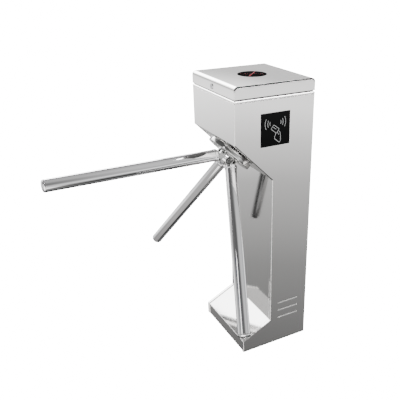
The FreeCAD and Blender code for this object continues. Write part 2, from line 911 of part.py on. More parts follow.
front_plate_top = -2 * gauge
front_plate_low = front_plate_top - size["bearing_width"]
rear_plate_top = front_plate_top - size["mechanism_length"]
rear_plate_low = rear_plate_top - size["bearing_width"]
wheel_spacing = 26
index_top = front_plate_low - wheel_spacing
lock_top = index_top - wheel_spacing
sensor_top = rear_plate_top + 10
pillar_x = size["mechanism_width"] / 2 - 24
pillar_y = size["mechanism_height"] / 2 - 9


def make_mechanism_plate(name, top, low):
    """A chassis plate with the shaft's bearing seat."""
    body = new_body(name, hub_frame)
    sketch = new_sketch(body, "plan", "XY_Plane", low)
    half_w, half_h = size["mechanism_width"] / 2, size["mechanism_height"] / 2
    rectangle(sketch, -half_w, -half_h, half_w, half_h)
    circle(sketch, 0, 0, size["bearing_radius"])
    pad(body, sketch, top - low)


def make_pillars():
    """The four pillars between the chassis plates."""
    pillars = [
        rod(
            f"pillar_{i}",
            size["pillar_radius"],
            (a * pillar_x, b * pillar_y, rear_plate_top),
            (a * pillar_x, b * pillar_y, front_plate_low),
            hub_frame,
        )
        for i, (a, b) in enumerate([(-1, -1), (-1, 1), (1, -1), (1, 1)])
    ]
    group("mechanism_pillars", pillars)


def make_bearing(name, low):
    """A sealed bearing: a ring with a shallow groove where its seal sits."""
    body = new_body(name, hub_frame)
    sketch = new_sketch(body, "section", "XZ_Plane")
    inner = size["shaft_radius"] + size["running_gap"]
    outer = size["bearing_radius"]
    top = low + size["bearing_width"]
    land = 2.5
    slant = 3
    seal = top - 0.6
    polygon(sketch, [
        (inner, low),
        (outer, low),
        (outer, top),
        (outer - land, top),
        (outer - slant, seal),
        (inner + slant, seal),
        (inner + land, top),
        (inner, top),
    ])
    revolve(body, sketch)


def make_hub_shaft():
    """The main shaft and its front flange, in one turned piece."""
    body = new_body("hub_shaft", hub_frame)
    sketch = new_sketch(body, "section", "XZ_Plane")
    radius = size["shaft_radius"]
    face = size["hub_gap"] + size["hub_disc_height"] - size["hub_skin"]
    end = rear_plate_low - 6
    flange = size["bearing_radius"] + 6
    under = face - 8
    polygon(sketch, [(0, end), (radius, end), (radius, under), (flange, under), (flange, face), (0, face)])
    revolve(body, sketch)


def make_hub_disc():
    """The shallow round cover that turns with the arms."""
    body = new_body("hub_disc", hub_frame)
    sketch = new_sketch(body, "section", "XZ_Plane")
    low = size["hub_gap"]
    high = low + size["hub_disc_height"]
    skin = size["hub_skin"]
    radius = size["hub_disc_radius"]
    bevel = 2
    polygon(sketch, [
        (0, high - skin),
        (radius - skin, high - skin),
        (radius - skin, low),
        (radius, low),
        (radius, high - bevel),
        (radius - bevel, high),
        (0, high),
    ])
    revolve(body, sketch)


carrier_low = size["hub_gap"] + size["hub_disc_height"]
pivot_high = size["apex_height"] + size["pivot_reach"] * slope_sin
pivot_out = size["pivot_reach"] * slope_cos
cheek_in = size["tongue_width"] / 2 + 0.5
cheek_out = cheek_in + size["cheek_thickness"]


def hub_turn(angle):
    """The hub's frame turned about its own axis."""
    return hub_frame.multiply(Placement(Vector(), Rotation(Vector(0, 0, 1), angle)))


def make_arm_carrier():
    """The cast fork head: a low boss with three pairs of cheeks, bored for the pivot pins."""
    top = carrier_low + size["carrier_thickness"]
    parts = [rod("carrier_base", size["carrier_radius"], (0, 0, carrier_low), (0, 0, top), hub_frame)]
    bores = []
    reach = size["collar_start"] - 1
    near_x, far_x = pivot_out - reach, pivot_out + reach
    for arm in range(3):
        turn = hub_turn(120 * arm + 90)
        for label, a, b in (("low", -cheek_out, -cheek_in), ("high", cheek_in, cheek_out)):
            name = f"cheek_{arm}_{label}"
            parts.append(box(f"{name}_web", (near_x, a, carrier_low), (far_x, b, pivot_high), turn))
            ends = [(pivot_out, a, pivot_high), (pivot_out, b, pivot_high)]
            parts.append(rod(f"{name}_eye", reach, *ends, turn))
        ends = [(pivot_out, side * (cheek_out + 1), pivot_high) for side in (-1, 1)]
        bores.append(rod(f"cheek_{arm}_bore", size["pivot_pin_radius"], *ends, turn))
    cut_from("arm_carrier", fused("carrier_blank", parts), bores)


def make_pivot_pins():
    """The three pins that the arms fold on, flush with the cheeks."""
    pins = []
    ends = [(pivot_out, side * cheek_out, pivot_high) for side in (-1, 1)]
    for arm in range(3):
        turn = hub_turn(120 * arm + 90)
        pins.append(rod(f"pivot_pin_{arm}", size["pivot_pin_radius"], *ends, turn))
    group("arm_pivot_pins", pins)


def make_hub_screws():
    """Three cap screws that hold the carrier and the disc on the shaft's flange."""
    screws = []
    face = carrier_low + size["carrier_thickness"]
    out = size["hub_screw_circle"]
    head_height = 5
    socket_radius = 3
    socket_depth = 3
    top = face + head_height
    for i in range(3):
        turn = hub_turn(120 * i + 30)
        head = rod(f"hub_head_{i}", size["hub_screw_radius"], (out, 0, face), (out, 0, top), turn)
        socket_ends = [(out, 0, top - socket_depth), (out, 0, top + 1)]
        socket = rod(f"hub_socket_{i}", socket_radius, *socket_ends, turn)
        screw = doc.addObject("Part::Cut", f"hub_screw_{i}")
        screw.Base = head
        screw.Tool = socket
        screws.append(screw)
    group("hub_screws", screws)


def make_notched_wheel(name, top, notches, notch_radius, notch_out):
    """A wheel on the shaft with round notches in its rim, the first one towards +X."""
    body = new_body(name, hub_frame)
    low = top - size["wheel_width"]
    sketch = new_sketch(body, "plan", "XY_Plane", low)
    circle(sketch, 0, 0, size["wheel_radius"])
    circle(sketch, 0, 0, size["shaft_radius"])
    pad(body, sketch, size["wheel_width"])
    notch = new_sketch(body, "notch", "XY_Plane", low)
    circle(notch, size["wheel_radius"] + notch_out, 0, notch_radius)
    feature = pocket(body, notch, size["wheel_width"], backwards=True)
    polar(body, feature, notches)


def make_sensor_disc():
    """The thin slotted disc that the position sensor reads."""
    body = new_body("sensor_disc", hub_frame)
    radius = size["sensor_disc_radius"]
    thickness = size["sensor_disc_thickness"]
    sketch = new_sketch(body, "plan", "XY_Plane", sensor_top - thickness)
    circle(sketch, 0, 0, radius)
    circle(sketch, 0, 0, size["shaft_radius"])
    pad(body, sketch, thickness)
    slot = new_sketch(body, "slot", "XY_Plane", sensor_top - thickness)
    slot_half = 3
    rectangle(slot, -slot_half, radius - 8, slot_half, radius - 3)
    feature = pocket(body, slot, thickness, backwards=True)
    polar(body, feature, 6)


def make_position_sensor():
    """The forked sensor that the slotted disc runs through."""
    radius = size["sensor_disc_radius"]
    half = 8
    inner = -(radius - 10)
    outer = -(radius + 16)
    throat = -(radius + 4)
    gap_low = sensor_top - 2 * size["sensor_disc_thickness"]
    gap_high = sensor_top + size["sensor_disc_thickness"]
    block = box("sensor_block", (-half, outer, rear_plate_top), (half, inner, sensor_top + 8), hub_frame)
    gap = box("sensor_gap", (-half - 1, throat, gap_low), (half + 1, inner + 1, gap_high), hub_frame)
    cut_from("position_sensor", block, [gap])


bolt_middle = lock_top - size["wheel_width"] / 2
solenoid_near = size["wheel_radius"] + 16
solenoid_far = solenoid_near + 50
solenoid_half = 16


def make_lock_solenoids():
    """The two solenoids that drive the lock bolts, on the rear chassis plate."""
    solenoids = []
    bore_radius = size["bolt_radius"] + 0.1
    top = bolt_middle + solenoid_half
    for label, side in (("left", -1), ("right", 1)):
        low, high = (-solenoid_far, -solenoid_near) if side < 0 else (solenoid_near, solenoid_far)
        corners = (low, -solenoid_half, rear_plate_top), (high, solenoid_half, top)
        body = box(f"solenoid_{label}_body", *corners, hub_frame)
        ends = [(side * x, 0, bolt_middle) for x in (solenoid_near - 1, solenoid_far + 1)]
        bore = rod(f"solenoid_{label}_bore", bore_radius, *ends, hub_frame)
        solenoid = doc.addObject("Part::Cut", f"solenoid_{label}")
        solenoid.Base = body
        solenoid.Tool = bore
        solenoids.append(solenoid)
    group("lock_solenoids", solenoids)


def make_lock_bolt(name, side):
    """The solenoid's bolt, drawn back clear of the lock wheel, with its end button."""
    tip = side * (size["wheel_radius"] + size["bolt_gap"])
    tail = side * (solenoid_far + 6)
    end = side * (solenoid_far + 9)
    shank_ends = [(tip, 0, bolt_middle), (tail, 0, bolt_middle)]
    shank = rod(f"{name}_shank", size["bolt_radius"], *shank_ends, hub_frame)
    button_ends = [(tail, 0, bolt_middle), (end, 0, bolt_middle)]
    button = rod(f"{name}_button", size["bolt_radius"] + 3, *button_ends, hub_frame)
    joined(name, [shank, button])


lever_top = index_top
lever_high = index_top + 5
lever_low = index_top - size["wheel_width"]
roller_height = size["wheel_radius"] + size["index_notch_out"]


def make_index_lever():
    """The lever that swings on a pillar and holds its roller in a notch of the index wheel."""
    low, high = lever_top + 0.5, lever_high
    pivot = [(-pillar_x, pillar_y, level) for level in (low, high)]
    through = [(-pillar_x, pillar_y, level) for level in (low - 1, high + 1)]
    half = 6
    pin_radius = 3
    boss = rod("lever_boss", size["pillar_radius"] + 5, *pivot, hub_frame)
    corners = (-pillar_x, roller_height - half, low), (2 * half, roller_height + half, high)
    bar = box("lever_bar", *corners, hub_frame)
    pin = rod("lever_pin", pin_radius, (0, roller_height, lever_low), (0, roller_height, low), hub_frame)
    bore = rod("lever_bore", size["pillar_radius"] + size["running_gap"], *through, hub_frame)
    cut_from("index_lever", fused("lever_blank", [boss, bar, pin]), [bore])
    tyre_ends = [(0, roller_height, level) for level in (lever_low, lever_top)]
    hole_ends = [(0, roller_height, level) for level in (lever_low - 1, lever_top + 1)]
    tyre = rod("roller_tyre", size["roller_radius"], *tyre_ends, hub_frame)
    hole = rod("roller_hole", pin_radius, *hole_ends, hub_frame)
    cut_from("index_roller", tyre, [hole])


def make_index_spring():
    """The torsion spring wound round the lever's pillar."""
    turns, pitch, wire = 6, 2.2, 0.8
    radius = float(size["pillar_radius"]) + wire + 0.3
    helix = Part.makeHelix(pitch, turns * pitch, radius)
    section = Part.Wire([Part.makeCircle(wire, Vector(radius, 0, 0), Vector(0, 1, 0))])
    coil = Part.Wire(helix.Edges).makePipeShell([section], True, True)
    item = doc.addObject("Part::Feature", "index_spring")
    item.Shape = coil
    start = Vector(-float(pillar_x), float(pillar_y), float(lever_high) + wire)
    item.Placement = hub_frame.multiply(Placement(start, Rotation()))
    item.Label = "index_spring"
    keep(item)


# --- Arms ------------------------------------------------------------------------------------


def arm_frame(number):
    """An arm's frame: origin on the hub's axis where the arms meet, +Z along the arm."""
    apex = Vector(0, 0, float(size["apex_height"]))
    turn = Placement(apex, Rotation(Vector(0, 0, 1), 120 * (number - 1) + 90))
    tilt = Placement(Vector(), Rotation(Vector(0, 1, 0), 90 - float(size["slope_angle"])))
    return hub_frame.multiply(turn).multiply(tilt)


def make_knuckle(number, frame, collar, tube_start, spigot):
    """The knuckle: an eye and a flat tongue on the pin, a round collar and a spigot."""
    knuckle = new_body(f"arm_{number}_knuckle", frame)
    pivot = size["pivot_reach"]
    width = size["collar_start"] - 2
    thickness = size["tongue_width"]
    side = new_sketch(knuckle, "eye", "XZ_Plane")
    circle(side, 0, pivot, width)
    pad(knuckle, side, thickness, both_ways=True)
    neck = new_sketch(knuckle, "neck", "XZ_Plane")
    rectangle(neck, -width, pivot, width, collar + 1)
    pad(knuckle, neck, thickness, both_ways=True)
    ring = new_sketch(knuckle, "collar", "XZ_Plane")
    proud = size["arm_radius"] + size["collar_proud"]
    slant = 3
    spigot_end = tube_start + size["arm_radius"]
    polygon(ring, [
        (0, collar),
        (proud - slant, collar),
        (proud, collar + slant),
        (proud, tube_start - 1),
        (proud - 1, tube_start),
        (spigot, tube_start),
        (spigot, spigot_end),
        (0, spigot_end),
    ])
    revolve(knuckle, ring)
    bore = new_sketch(knuckle, "bore", "XZ_Plane")
    circle(bore, 0, pivot, size["pivot_pin_radius"] + size["running_gap"])
    pocket(knuckle, bore, 2 * thickness, both_ways=True)


def make_arm(number):
    """One arm: the knuckle that folds on the pin, the tube and its end cap."""
    frame = arm_frame(number)
    radius = size["arm_radius"]
    inner = radius - size["arm_wall"]
    spigot = inner - 0.05
    collar = size["pivot_reach"] + size["collar_start"]
    tube_start = collar + size["collar_length"]
    end = size["arm_reach"]
    tube_end = end - size["cap_length"]
    make_knuckle(number, frame, collar, tube_start, spigot)
    tube = new_body(f"arm_{number}_tube", frame)
    section = new_sketch(tube, "section", "XY_Plane", tube_start)
    circle(section, 0, 0, radius)
    circle(section, 0, 0, inner)
    pad(tube, section, tube_end - tube_start)
    cap = new_body(f"arm_{number}_cap", frame)
    profile = new_sketch(cap, "section", "XZ_Plane")
    plug_low = tube_end - 12
    bevel = 1.5
    polygon(profile, [
        (0, plug_low),
        (spigot, plug_low),
        (spigot, tube_end),
        (radius, tube_end),
        (radius, end - bevel),
        (radius - bevel, end),
        (0, end),
    ])
    revolve(cap, profile)


# --- Electronics -----------------------------------------------------------------------------


def make_electronics():
    """The plate across the column with the control board, the power supply and the terminals."""
    face = recess + 36
    front_face = face + gauge
    low, high = 250, 560
    keep(box("electronics_plate", (-inner_half, face, low), (inner_half, front_face, high)))
    make_control_board(front_face)
    supply_low, supply_high = low + 20, low + 118
    supply_face = front_face + 40
    supply = box("power_supply", (-inner_half + 42, front_face, supply_low), (48, supply_face, supply_high))
    keep(supply)
    near_x, far_x = inner_half - 82, inner_half - 62
    block_low = low + 50
    slot_pitch = 14
    slot_height = 8
    block = box("terminal_body", (near_x, front_face, block_low), (far_x, front_face + 22, block_low + 120))
    slots = []
    for i in range(8):
        start = block_low + 6 + slot_pitch * i
        corners = (near_x + 6, front_face + 12, start), (far_x + 1, front_face + 23, start + slot_height)
        slots.append(box(f"terminal_slot_{i}", *corners))
    cut_from("terminal_block", block, slots)


def make_control_board(front_face):
    """The control board on its four legs, with its processor, a relay and a row of sockets."""
    left, right = -inner_half + 42, 30
    low, high = 410, 550
    inset = 10
    leg_radius = 3
    under = front_face + 8
    top = under + size["board_thickness"]
    parts = [box("board_sheet", (left, under, low), (right, top, high))]
    corners = [(a, b) for a in (left + inset, right - inset) for b in (low + inset, high - inset)]
    for i, (x, z) in enumerate(corners):
        parts.append(rod(f"board_leg_{i}", leg_radius, (x, front_face, z), (x, under, z)))
    parts.append(box("board_processor", (left + 30, top, low + 60), (left + 60, top + 3.4, low + 90)))
    parts.append(box("board_relay", (right - 50, top, high - 50), (right - 14, top + 9.4, high - 10)))
    parts.append(box("board_sockets", (left + 6, top, low + 4), (left + 80, top + 11.4, low + 16)))
    joined("control_board", parts)


def build():
    """Make every sub-part."""
    make_base_plate()
    make_cable_gland()
    make_side_panel("side_panel_left", -1)
    make_side_panel("side_panel_right", 1)
    open_rear_flanges()
    make_head_front_panel()
    make_centre_panel()
    make_rear_panel()
    make_rear_panel_screws()
    make_top_rim()
    make_lid_shell()
    make_lid_end("lid_end_left", -1)
    make_lid_end("lid_end_right", 1)
    make_display_window()
    make_display_board()
    make_lid_hinges()
    make_lid_lock()
    make_reader()
    make_mechanism_plate("mechanism_front_plate", front_plate_top, front_plate_low)
    make_mechanism_plate("mechanism_rear_plate", rear_plate_top, rear_plate_low)
    make_pillars()
    make_bearing("front_bearing", front_plate_low)
    make_bearing("rear_bearing", rear_plate_low)
    make_hub_shaft()
    make_hub_disc()
    make_arm_carrier()
    make_pivot_pins()
    make_hub_screws()
    make_notched_wheel("index_wheel", index_top, 12, size["index_notch_radius"], size["index_notch_out"])
    make_notched_wheel("lock_wheel", lock_top, 6, size["lock_notch_radius"], 0)
    make_sensor_disc()
    make_position_sensor()
    make_lock_solenoids()
    make_lock_bolt("lock_bolt_left", -1)
    make_lock_bolt("lock_bolt_right", 1)
    make_index_lever()
    make_index_spring()
    for number in (1, 2, 3):
        make_arm(number)
    make_electronics()


def write():
    """Check every object and sub-part, then write one file for each sub-part."""
    doc.recompute()
    for item in doc.Objects:
        bad = [state for state in item.State if state in ("Invalid", "Error")]
        if bad:
            raise RuntimeError(f"{item.Name} is {bad}")
    for item in finished:
        if item.Shape.isNull() or not item.Shape.isValid():
            raise RuntimeError(f"{item.Label} has no valid shape")
    os.makedirs("parts", exist_ok=True)
    for item in finished:
        item.Shape.exportStep(f"parts/{item.Label}.step")
    print(len(finished), "sub-parts")


build()
write()
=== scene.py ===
"""Looks of the vertical tripod turnstile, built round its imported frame.

Metres, +Z up, -Y the walkway side and +X the card reader's side. Each sub-assembly is a class that
builds its own surfaces and dresses the frame's nodes. Surfaces are worked out as numpy arrays.
"""

import json
import logging
import math
from dataclasses import dataclass, field
from enum import Enum

import bmesh
import bpy
import numpy as np
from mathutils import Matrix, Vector


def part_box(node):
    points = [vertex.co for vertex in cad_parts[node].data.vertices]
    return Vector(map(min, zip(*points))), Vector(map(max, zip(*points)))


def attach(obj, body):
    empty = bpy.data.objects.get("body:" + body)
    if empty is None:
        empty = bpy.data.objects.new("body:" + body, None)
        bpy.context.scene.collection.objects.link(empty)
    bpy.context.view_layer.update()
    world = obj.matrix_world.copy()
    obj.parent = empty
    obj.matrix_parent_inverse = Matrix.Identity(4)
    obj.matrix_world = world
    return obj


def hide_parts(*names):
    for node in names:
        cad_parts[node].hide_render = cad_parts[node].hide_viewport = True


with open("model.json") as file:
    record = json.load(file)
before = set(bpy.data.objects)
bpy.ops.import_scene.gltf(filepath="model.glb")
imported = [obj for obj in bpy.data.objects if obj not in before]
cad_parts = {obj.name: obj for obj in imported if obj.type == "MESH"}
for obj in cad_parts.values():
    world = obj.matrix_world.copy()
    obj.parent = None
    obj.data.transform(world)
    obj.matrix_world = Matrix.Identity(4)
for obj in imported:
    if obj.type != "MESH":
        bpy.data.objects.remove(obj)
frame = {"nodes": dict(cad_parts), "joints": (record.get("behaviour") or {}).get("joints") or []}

LOG = logging.getLogger("turnstile")
MM = 0.001
ARM_COUNT = 3
ARM_CONE = math.radians(45.0)
SIDEWAYS, DEPTH, UP = np.eye(3)
NUMBER_SOCKET = "NodeSocketFloat"


# --- Meshes ----------------------------------------------------------------------------------


def mesh_piece(name: str, points: np.ndarray, faces: list, smooth: bool = True) -> bpy.types.Object:
    """Make an object from vertices and faces.

    Args:
        name: the piece's name.
        points: vertices, one row of x, y, z each, in the frame's own metres.
        faces: lists of vertex numbers.
        smooth: whether the faces shade smoothly.

    Returns:
        The new object, linked to the scene, standing at the origin.
    """
    mesh = bpy.data.meshes.new(name)
    mesh.from_pydata(points.reshape(-1, 3).tolist(), [], faces)
    mesh.update()
    mesh.polygons.foreach_set("use_smooth", np.full(len(mesh.polygons), smooth))
    piece = bpy.data.objects.new(name, mesh)
    bpy.context.scene.collection.objects.link(piece)
    return piece


def grid_faces(rows: int, columns: int, wrap_rows: bool, wrap_columns: bool) -> list:
    """List the four-sided faces between neighbouring points of a grid.

    Args:
        rows: how many rows of points the grid has.
        columns: how many points each row has.
        wrap_rows: whether the last row joins the first.
        wrap_columns: whether the last column joins the first.

    Returns:
        Faces as rows of four vertex numbers.
    """
    first = np.arange(rows if wrap_rows else rows - 1)[:, None]
    second = np.arange(columns if wrap_columns else columns - 1)[None, :]
    below, beside = (first + 1) % rows, (second + 1) % columns
    corners = [first * columns + second, below * columns + second,
               below * columns + beside, first * columns + beside]
    return np.stack(corners, axis=-1).reshape(-1, 4).tolist()


@dataclass(frozen=True)
class Axes:
    """A local frame: an origin and three unit directions, the third along the piece."""

    origin: np.ndarray
    across: np.ndarray
    beside: np.ndarray
    along: np.ndarray

    def place(self, local: np.ndarray) -> np.ndarray:
        """Put local points into the model: origin plus each coordinate times its direction.

        Args:
            local: points in the frame, three columns.

        Returns:
            The points in the model.
        """
        basis = np.stack([self.across, self.beside, self.along])
        return self.origin + local @ basis


def axes_along(origin: np.ndarray, along: np.ndarray, beside: np.ndarray) -> Axes:
    """Make a right-handed frame.

    Args:
        origin: where it stands.
        along: its long axis.
        beside: an axis square to that.

    Returns:
        The frame.
    """
    along = np.asarray(along, float) / np.linalg.norm(along)
    beside = np.asarray(beside, float) / np.linalg.norm(beside)
    return Axes(np.asarray(origin, float), np.cross(beside, along), beside, along)


def rounded_profile(corners: list, radius: float, steps: int = 5) -> np.ndarray:
    """Round the inner corners of an open line of points with arcs.

    At each corner the arc starts and ends at radius times the tangent of half the turn from it,
    and its centre lies on the bisector, so it meets both sides at a tangent.

    Args:
        corners: points as (a, b) pairs.
        radius: the arc's radius, made smaller where a side is too short for it.
        steps: how many spans each arc is drawn with.

    Returns:
        The line's points, two columns.
    """
    line = np.asarray(corners, float)
    out = [line[0]]
    for before, here, after in zip(line, line[1:], line[2:]):
        to_before, to_after = before - here, after - here
        long_before, long_after = np.linalg.norm(to_before), np.linalg.norm(to_after)
        to_before, to_after = to_before / long_before, to_after / long_after
        half = 0.5 * math.acos(float(np.clip(to_before @ to_after, -1.0, 1.0)))
        reach = min(radius / math.tan(half), 0.49 * long_before, 0.49 * long_after)
        start, end = here + to_before * reach, here + to_after * reach
        middle = to_before + to_after
        centre = here + middle / np.linalg.norm(middle) * reach / math.cos(half)
        arm_a, arm_b = start - centre, end - centre
        span = math.acos(float(np.clip(arm_a @ arm_b / (arm_a @ arm_a), -1.0, 1.0)))
        share = np.linspace(0.0, 1.0, steps + 1)[:, None]
        arc = (np.sin((1 - share) * span) * arm_a + np.sin(share * span) * arm_b) / math.sin(span)
        out.extend(centre + arc)
    out.append(line[-1])
    return np.array(out)


def lathe(name: str, axes: Axes, profile: list, radius: float = 0.0, turns: int = 96) -> bpy.types.Object:
    """Turn a profile about the long axis of a frame.

    A point at profile (r, h) and angle a is at r cos a across, r sin a beside and h along. A
    profile that starts and ends on the axis makes a closed solid.

    Args:
        name: the piece's name.
        axes: the frame whose long axis it turns about.
        profile: (radius, height) pairs from one end to the other.
        radius: how far the profile's corners are rounded.
        turns: how many points go round.

    Returns:
        The new object.
    """
    line = rounded_profile(profile, radius) if radius else np.asarray(profile, float)
    line = line[np.r_[True, np.linalg.norm(np.diff(line, axis=0), axis=1) > 1e-7]]
    angle = np.linspace(0.0, 2 * math.pi, turns, endpoint=False)
    ring = line[1:-1]
    local = np.stack([
        ring[:, :1] * np.cos(angle),
        ring[:, :1] * np.sin(angle),
        np.broadcast_to(ring[:, 1:], (len(ring), turns)),
    ], axis=-1).reshape(-1, 3)
    faces = grid_faces(len(ring), turns, False, True)
    ends = np.array([[0.0, 0.0, line[0, 1]], [0.0, 0.0, line[-1, 1]]])
    first, last = len(local), len(local) + 1
    for i in range(turns):
        following = (i + 1) % turns
        faces.append([first, i, following])
        base = (len(ring) - 1) * turns
        faces.append([last, base + following, base + i])
    piece = mesh_piece(name, axes.place(np.vstack([local, ends])), faces)
    turn_outward(piece)
    return piece


def turn_outward(piece: bpy.types.Object) -> None:
    """Flip a closed surface's faces if they point inwards, which its signed volume shows.

    Args:
        piece: the closed piece.
    """
    mesh = piece.data
    points = np.empty(len(mesh.vertices) * 3)
    mesh.vertices.foreach_get("co", points)
    points = points.reshape(-1, 3)
    mesh.calc_loop_triangles()
    corners = np.empty(len(mesh.loop_triangles) * 3, dtype=np.int32)
    mesh.loop_triangles.foreach_get("vertices", corners)
    a, b, c = (points[corners.reshape(-1, 3)[:, k]] for k in range(3))
    if np.einsum("ij,ij->i", a, np.cross(b, c)).sum() < 0:
        mesh.flip_normals()


def prism(name: str, axes: Axes, outline: np.ndarray, low: float, high: float,
          bevel: float = 0.0, segments: int = 3) -> bpy.types.Object:
    """Draw a flat outline out along the long axis of a frame and round its edges.

    Args:
        name: the piece's name.
        axes: the frame that holds the outline across and beside.
        outline: a closed line of points, two columns.
        low: where the prism starts along the frame.
        high: where it ends.
        bevel: how far its edges are rounded.
        segments: how many faces the rounding has.

    Returns:
        The new object.
    """
    count = len(outline)
    rows = [np.column_stack([outline, np.full(count, level)]) for level in (low, high)]
    faces = grid_faces(2, count, False, True)
    faces.append(list(range(count)))
    faces.append(list(range(2 * count - 1, count - 1, -1)))
    piece = mesh_piece(name, axes.place(np.vstack(rows)), faces, smooth=False)
    turn_outward(piece)
    if bevel:
        soften(piece, bevel, segments)
    return piece


def soften(piece: bpy.types.Object, width: float, segments: int = 3) -> None:
    """Round a piece's sharp edges, with normals that keep its flat faces flat.

    Args:
        piece: the piece.
        width: how far they are rounded.
        segments: how many faces the rounding has.
    """
    modifier = piece.modifiers.new("rounded_edges", "BEVEL")
    modifier.width = width
    modifier.segments = segments
    modifier.limit_method = "ANGLE"
    modifier.angle_limit = math.radians(35.0)
    modifier.harden_normals = True
    mesh = piece.data
    mesh.polygons.foreach_set("use_smooth", np.full(len(mesh.polygons), True))


def flat_end_normals(piece: bpy.types.Object, angle: float = 32.0) -> None:
    """Mark sharp edges, so flats beside curves stay flat.

    Args:
        piece: the piece.
        angle: the turn in degrees above which an edge is sharp.
    """
    mesh = piece.data
    mesh.set_sharp_from_angle(angle=math.radians(angle))


def join_pieces(name: str, pieces: list) -> bpy.types.Object:
    """Make one object of several that share a finish and a body.

    Args:
        name: the joined object's name.
        pieces: the objects, which are used up.

    Returns:
        The joined object.
    """
    points, faces, start = [], [], 0
    for piece in pieces:
        mesh = piece.data
        co = np.empty(len(mesh.vertices) * 3)
        mesh.vertices.foreach_get("co", co)
        points.append(co.reshape(-1, 3))
        faces += [[start + v for v in polygon.vertices] for polygon in mesh.polygons]
        start += len(mesh.vertices)
        bpy.data.objects.remove(piece)
    return mesh_piece(name, np.vstack(points), faces, smooth=False)


def ribbon(name: str, axes: Axes, path: np.ndarray, width: float, height: float) -> bpy.types.Object:
    """Print a raised stroke along a path on a face.

    Each point of the path is moved half the stroke's width to its left and its right, square to
    the path's own direction there, and the strip between is drawn out by the height.

    Args:
        name: the piece's name.
        axes: the frame of the face, its long axis pointing out of it.
        path: points on the face, two columns.
        width: the stroke's width.
        height: how far it stands out.

    Returns:
        The new object.
    """
    direction = np.gradient(path, axis=0)
    direction /= np.linalg.norm(direction, axis=1)[:, None]
    left = np.column_stack([-direction[:, 1], direction[:, 0]]) * width / 2
    outline = np.vstack([path + left, (path - left)[::-1]])
    count = len(path)
    rows = [np.column_stack([outline, np.full(2 * count, level)]) for level in (0.0, height)]
    faces = grid_faces(2, 2 * count, False, True)
    for layer in (0, 2 * count):
        for i in range(count - 1):
            faces.append([layer + i, layer + i + 1, layer + 2 * count - 2 - i, layer + 2 * count - 1 - i])
    piece = mesh_piece(name, axes.place(np.vstack(rows)), faces, smooth=False)
    recalculate(piece)
    return piece


def recalculate(piece: bpy.types.Object) -> None:
    """Turn every face of a piece the same way round, outwards.

    Args:
        piece: the piece.
    """
    work = bmesh.new()
    work.from_mesh(piece.data)
    bmesh.ops.recalc_face_normals(work, faces=work.faces)
    work.to_mesh(piece.data)
    work.free()


def arc(centre: tuple, radius: float, start: float, end: float, steps: int = 16) -> np.ndarray:
    """Put points on a circle: centre plus radius times (cos, sin) of the angle.

    Args:
        centre: the circle's middle.
        radius: its radius.
        start: the first angle, in degrees.
        end: the last angle.
        steps: how many points.

    Returns:
        The points, two columns.
    """
    angle = np.radians(np.linspace(start, end, steps))
    return np.asarray(centre) + radius * np.column_stack([np.cos(angle), np.sin(angle)])


# --- Shader effects shared by several finishes -----------------------------------------------


class NodeBuilder:
    """A node tree under construction: it adds nodes, leads sockets and mixes colours and shaders."""

    def __init__(self, tree: bpy.types.NodeTree) -> None:
        """Take up a tree.

        Args:
            tree: the tree that gets the nodes.
        """
        self.tree = tree

    def add(self, kind: str, **settings) -> bpy.types.Node:
        """Add a node.

        Args:
            kind: the node's type.
            settings: the node's own settings.

        Returns:
            The new node.
        """
        made = self.tree.nodes.new(kind)
        for key, value in settings.items():
            setattr(made, key, value)
        return made

    def lead(self, start, end: bpy.types.NodeSocket) -> None:
        """Lead something into an input.

        Args:
            start: a socket to link, or a plain value to set.
            end: the input.
        """
        if isinstance(start, bpy.types.NodeSocket):
            self.tree.links.new(start, end)
        else:
            end.default_value = start

    def mix(self, factor: bpy.types.NodeSocket, first, second) -> bpy.types.NodeSocket:
        """Mix two colours, each a socket or a value.

        Args:
            factor: nought where the first shows, one where the second does.
            first: the first colour.
            second: the second colour.

        Returns:
            The mixed colour.
        """
        made = self.add("ShaderNodeMix", data_type="RGBA")
        self.lead(factor, made.inputs["Factor"])
        for label, colour in (("A", first), ("B", second)):
            self.lead(colour, [s for s in made.inputs if s.name == label and s.type == "RGBA"][0])
        return [s for s in made.outputs if s.type == "RGBA"][0]

    def choose(self, switch: bpy.types.NodeSocket, off: bpy.types.Node, on: bpy.types.Node) -> bpy.types.Node:
        """Mix two shaders by a ray switch.

        Args:
            switch: the ray switch, nought or one.
            off: the node whose shader shows when it is nought.
            on: the node whose shader shows when it is one.

        Returns:
            The mixing node.
        """
        made = self.add("ShaderNodeMixShader")
        self.lead(switch, made.inputs[0])
        self.lead(off.outputs[0], made.inputs[1])
        self.lead(on.outputs[0], made.inputs[2])
        return made


class Effect(NodeBuilder):
    """A shader node group with named inputs and outputs, built once and placed in materials."""

    def __init__(self, name: str, inputs: dict, outputs: tuple) -> None:
        """Make the group and its sockets, all plain numbers.

        Args:
            name: the group's name.
            inputs: input name to its default value.
            outputs: the outputs' names.
        """
        super().__init__(bpy.data.node_groups.new(name, "ShaderNodeTree"))
        for label, default in inputs.items():
            socket = self.tree.interface.new_socket(name=label, in_out="INPUT", socket_type=NUMBER_SOCKET)
            socket.default_value = default
        for label in outputs:
            self.tree.interface.new_socket(name=label, in_out="OUTPUT", socket_type=NUMBER_SOCKET)
        self.entry = self.add("NodeGroupInput")
        self.exit = self.add("NodeGroupOutput")

    def maths(self, operation: str, first, second) -> bpy.types.NodeSocket:
        """Add a Math node; each operand is a socket or a number.

        Args:
            operation: the Math node's operation.
            first: its first operand.
            second: its second operand.

        Returns:
            The node's output.
        """
        made = self.add("ShaderNodeMath", operation=operation)
        for place, operand in enumerate((first, second)):
            self.lead(operand, made.inputs[place])
        return made.outputs[0]


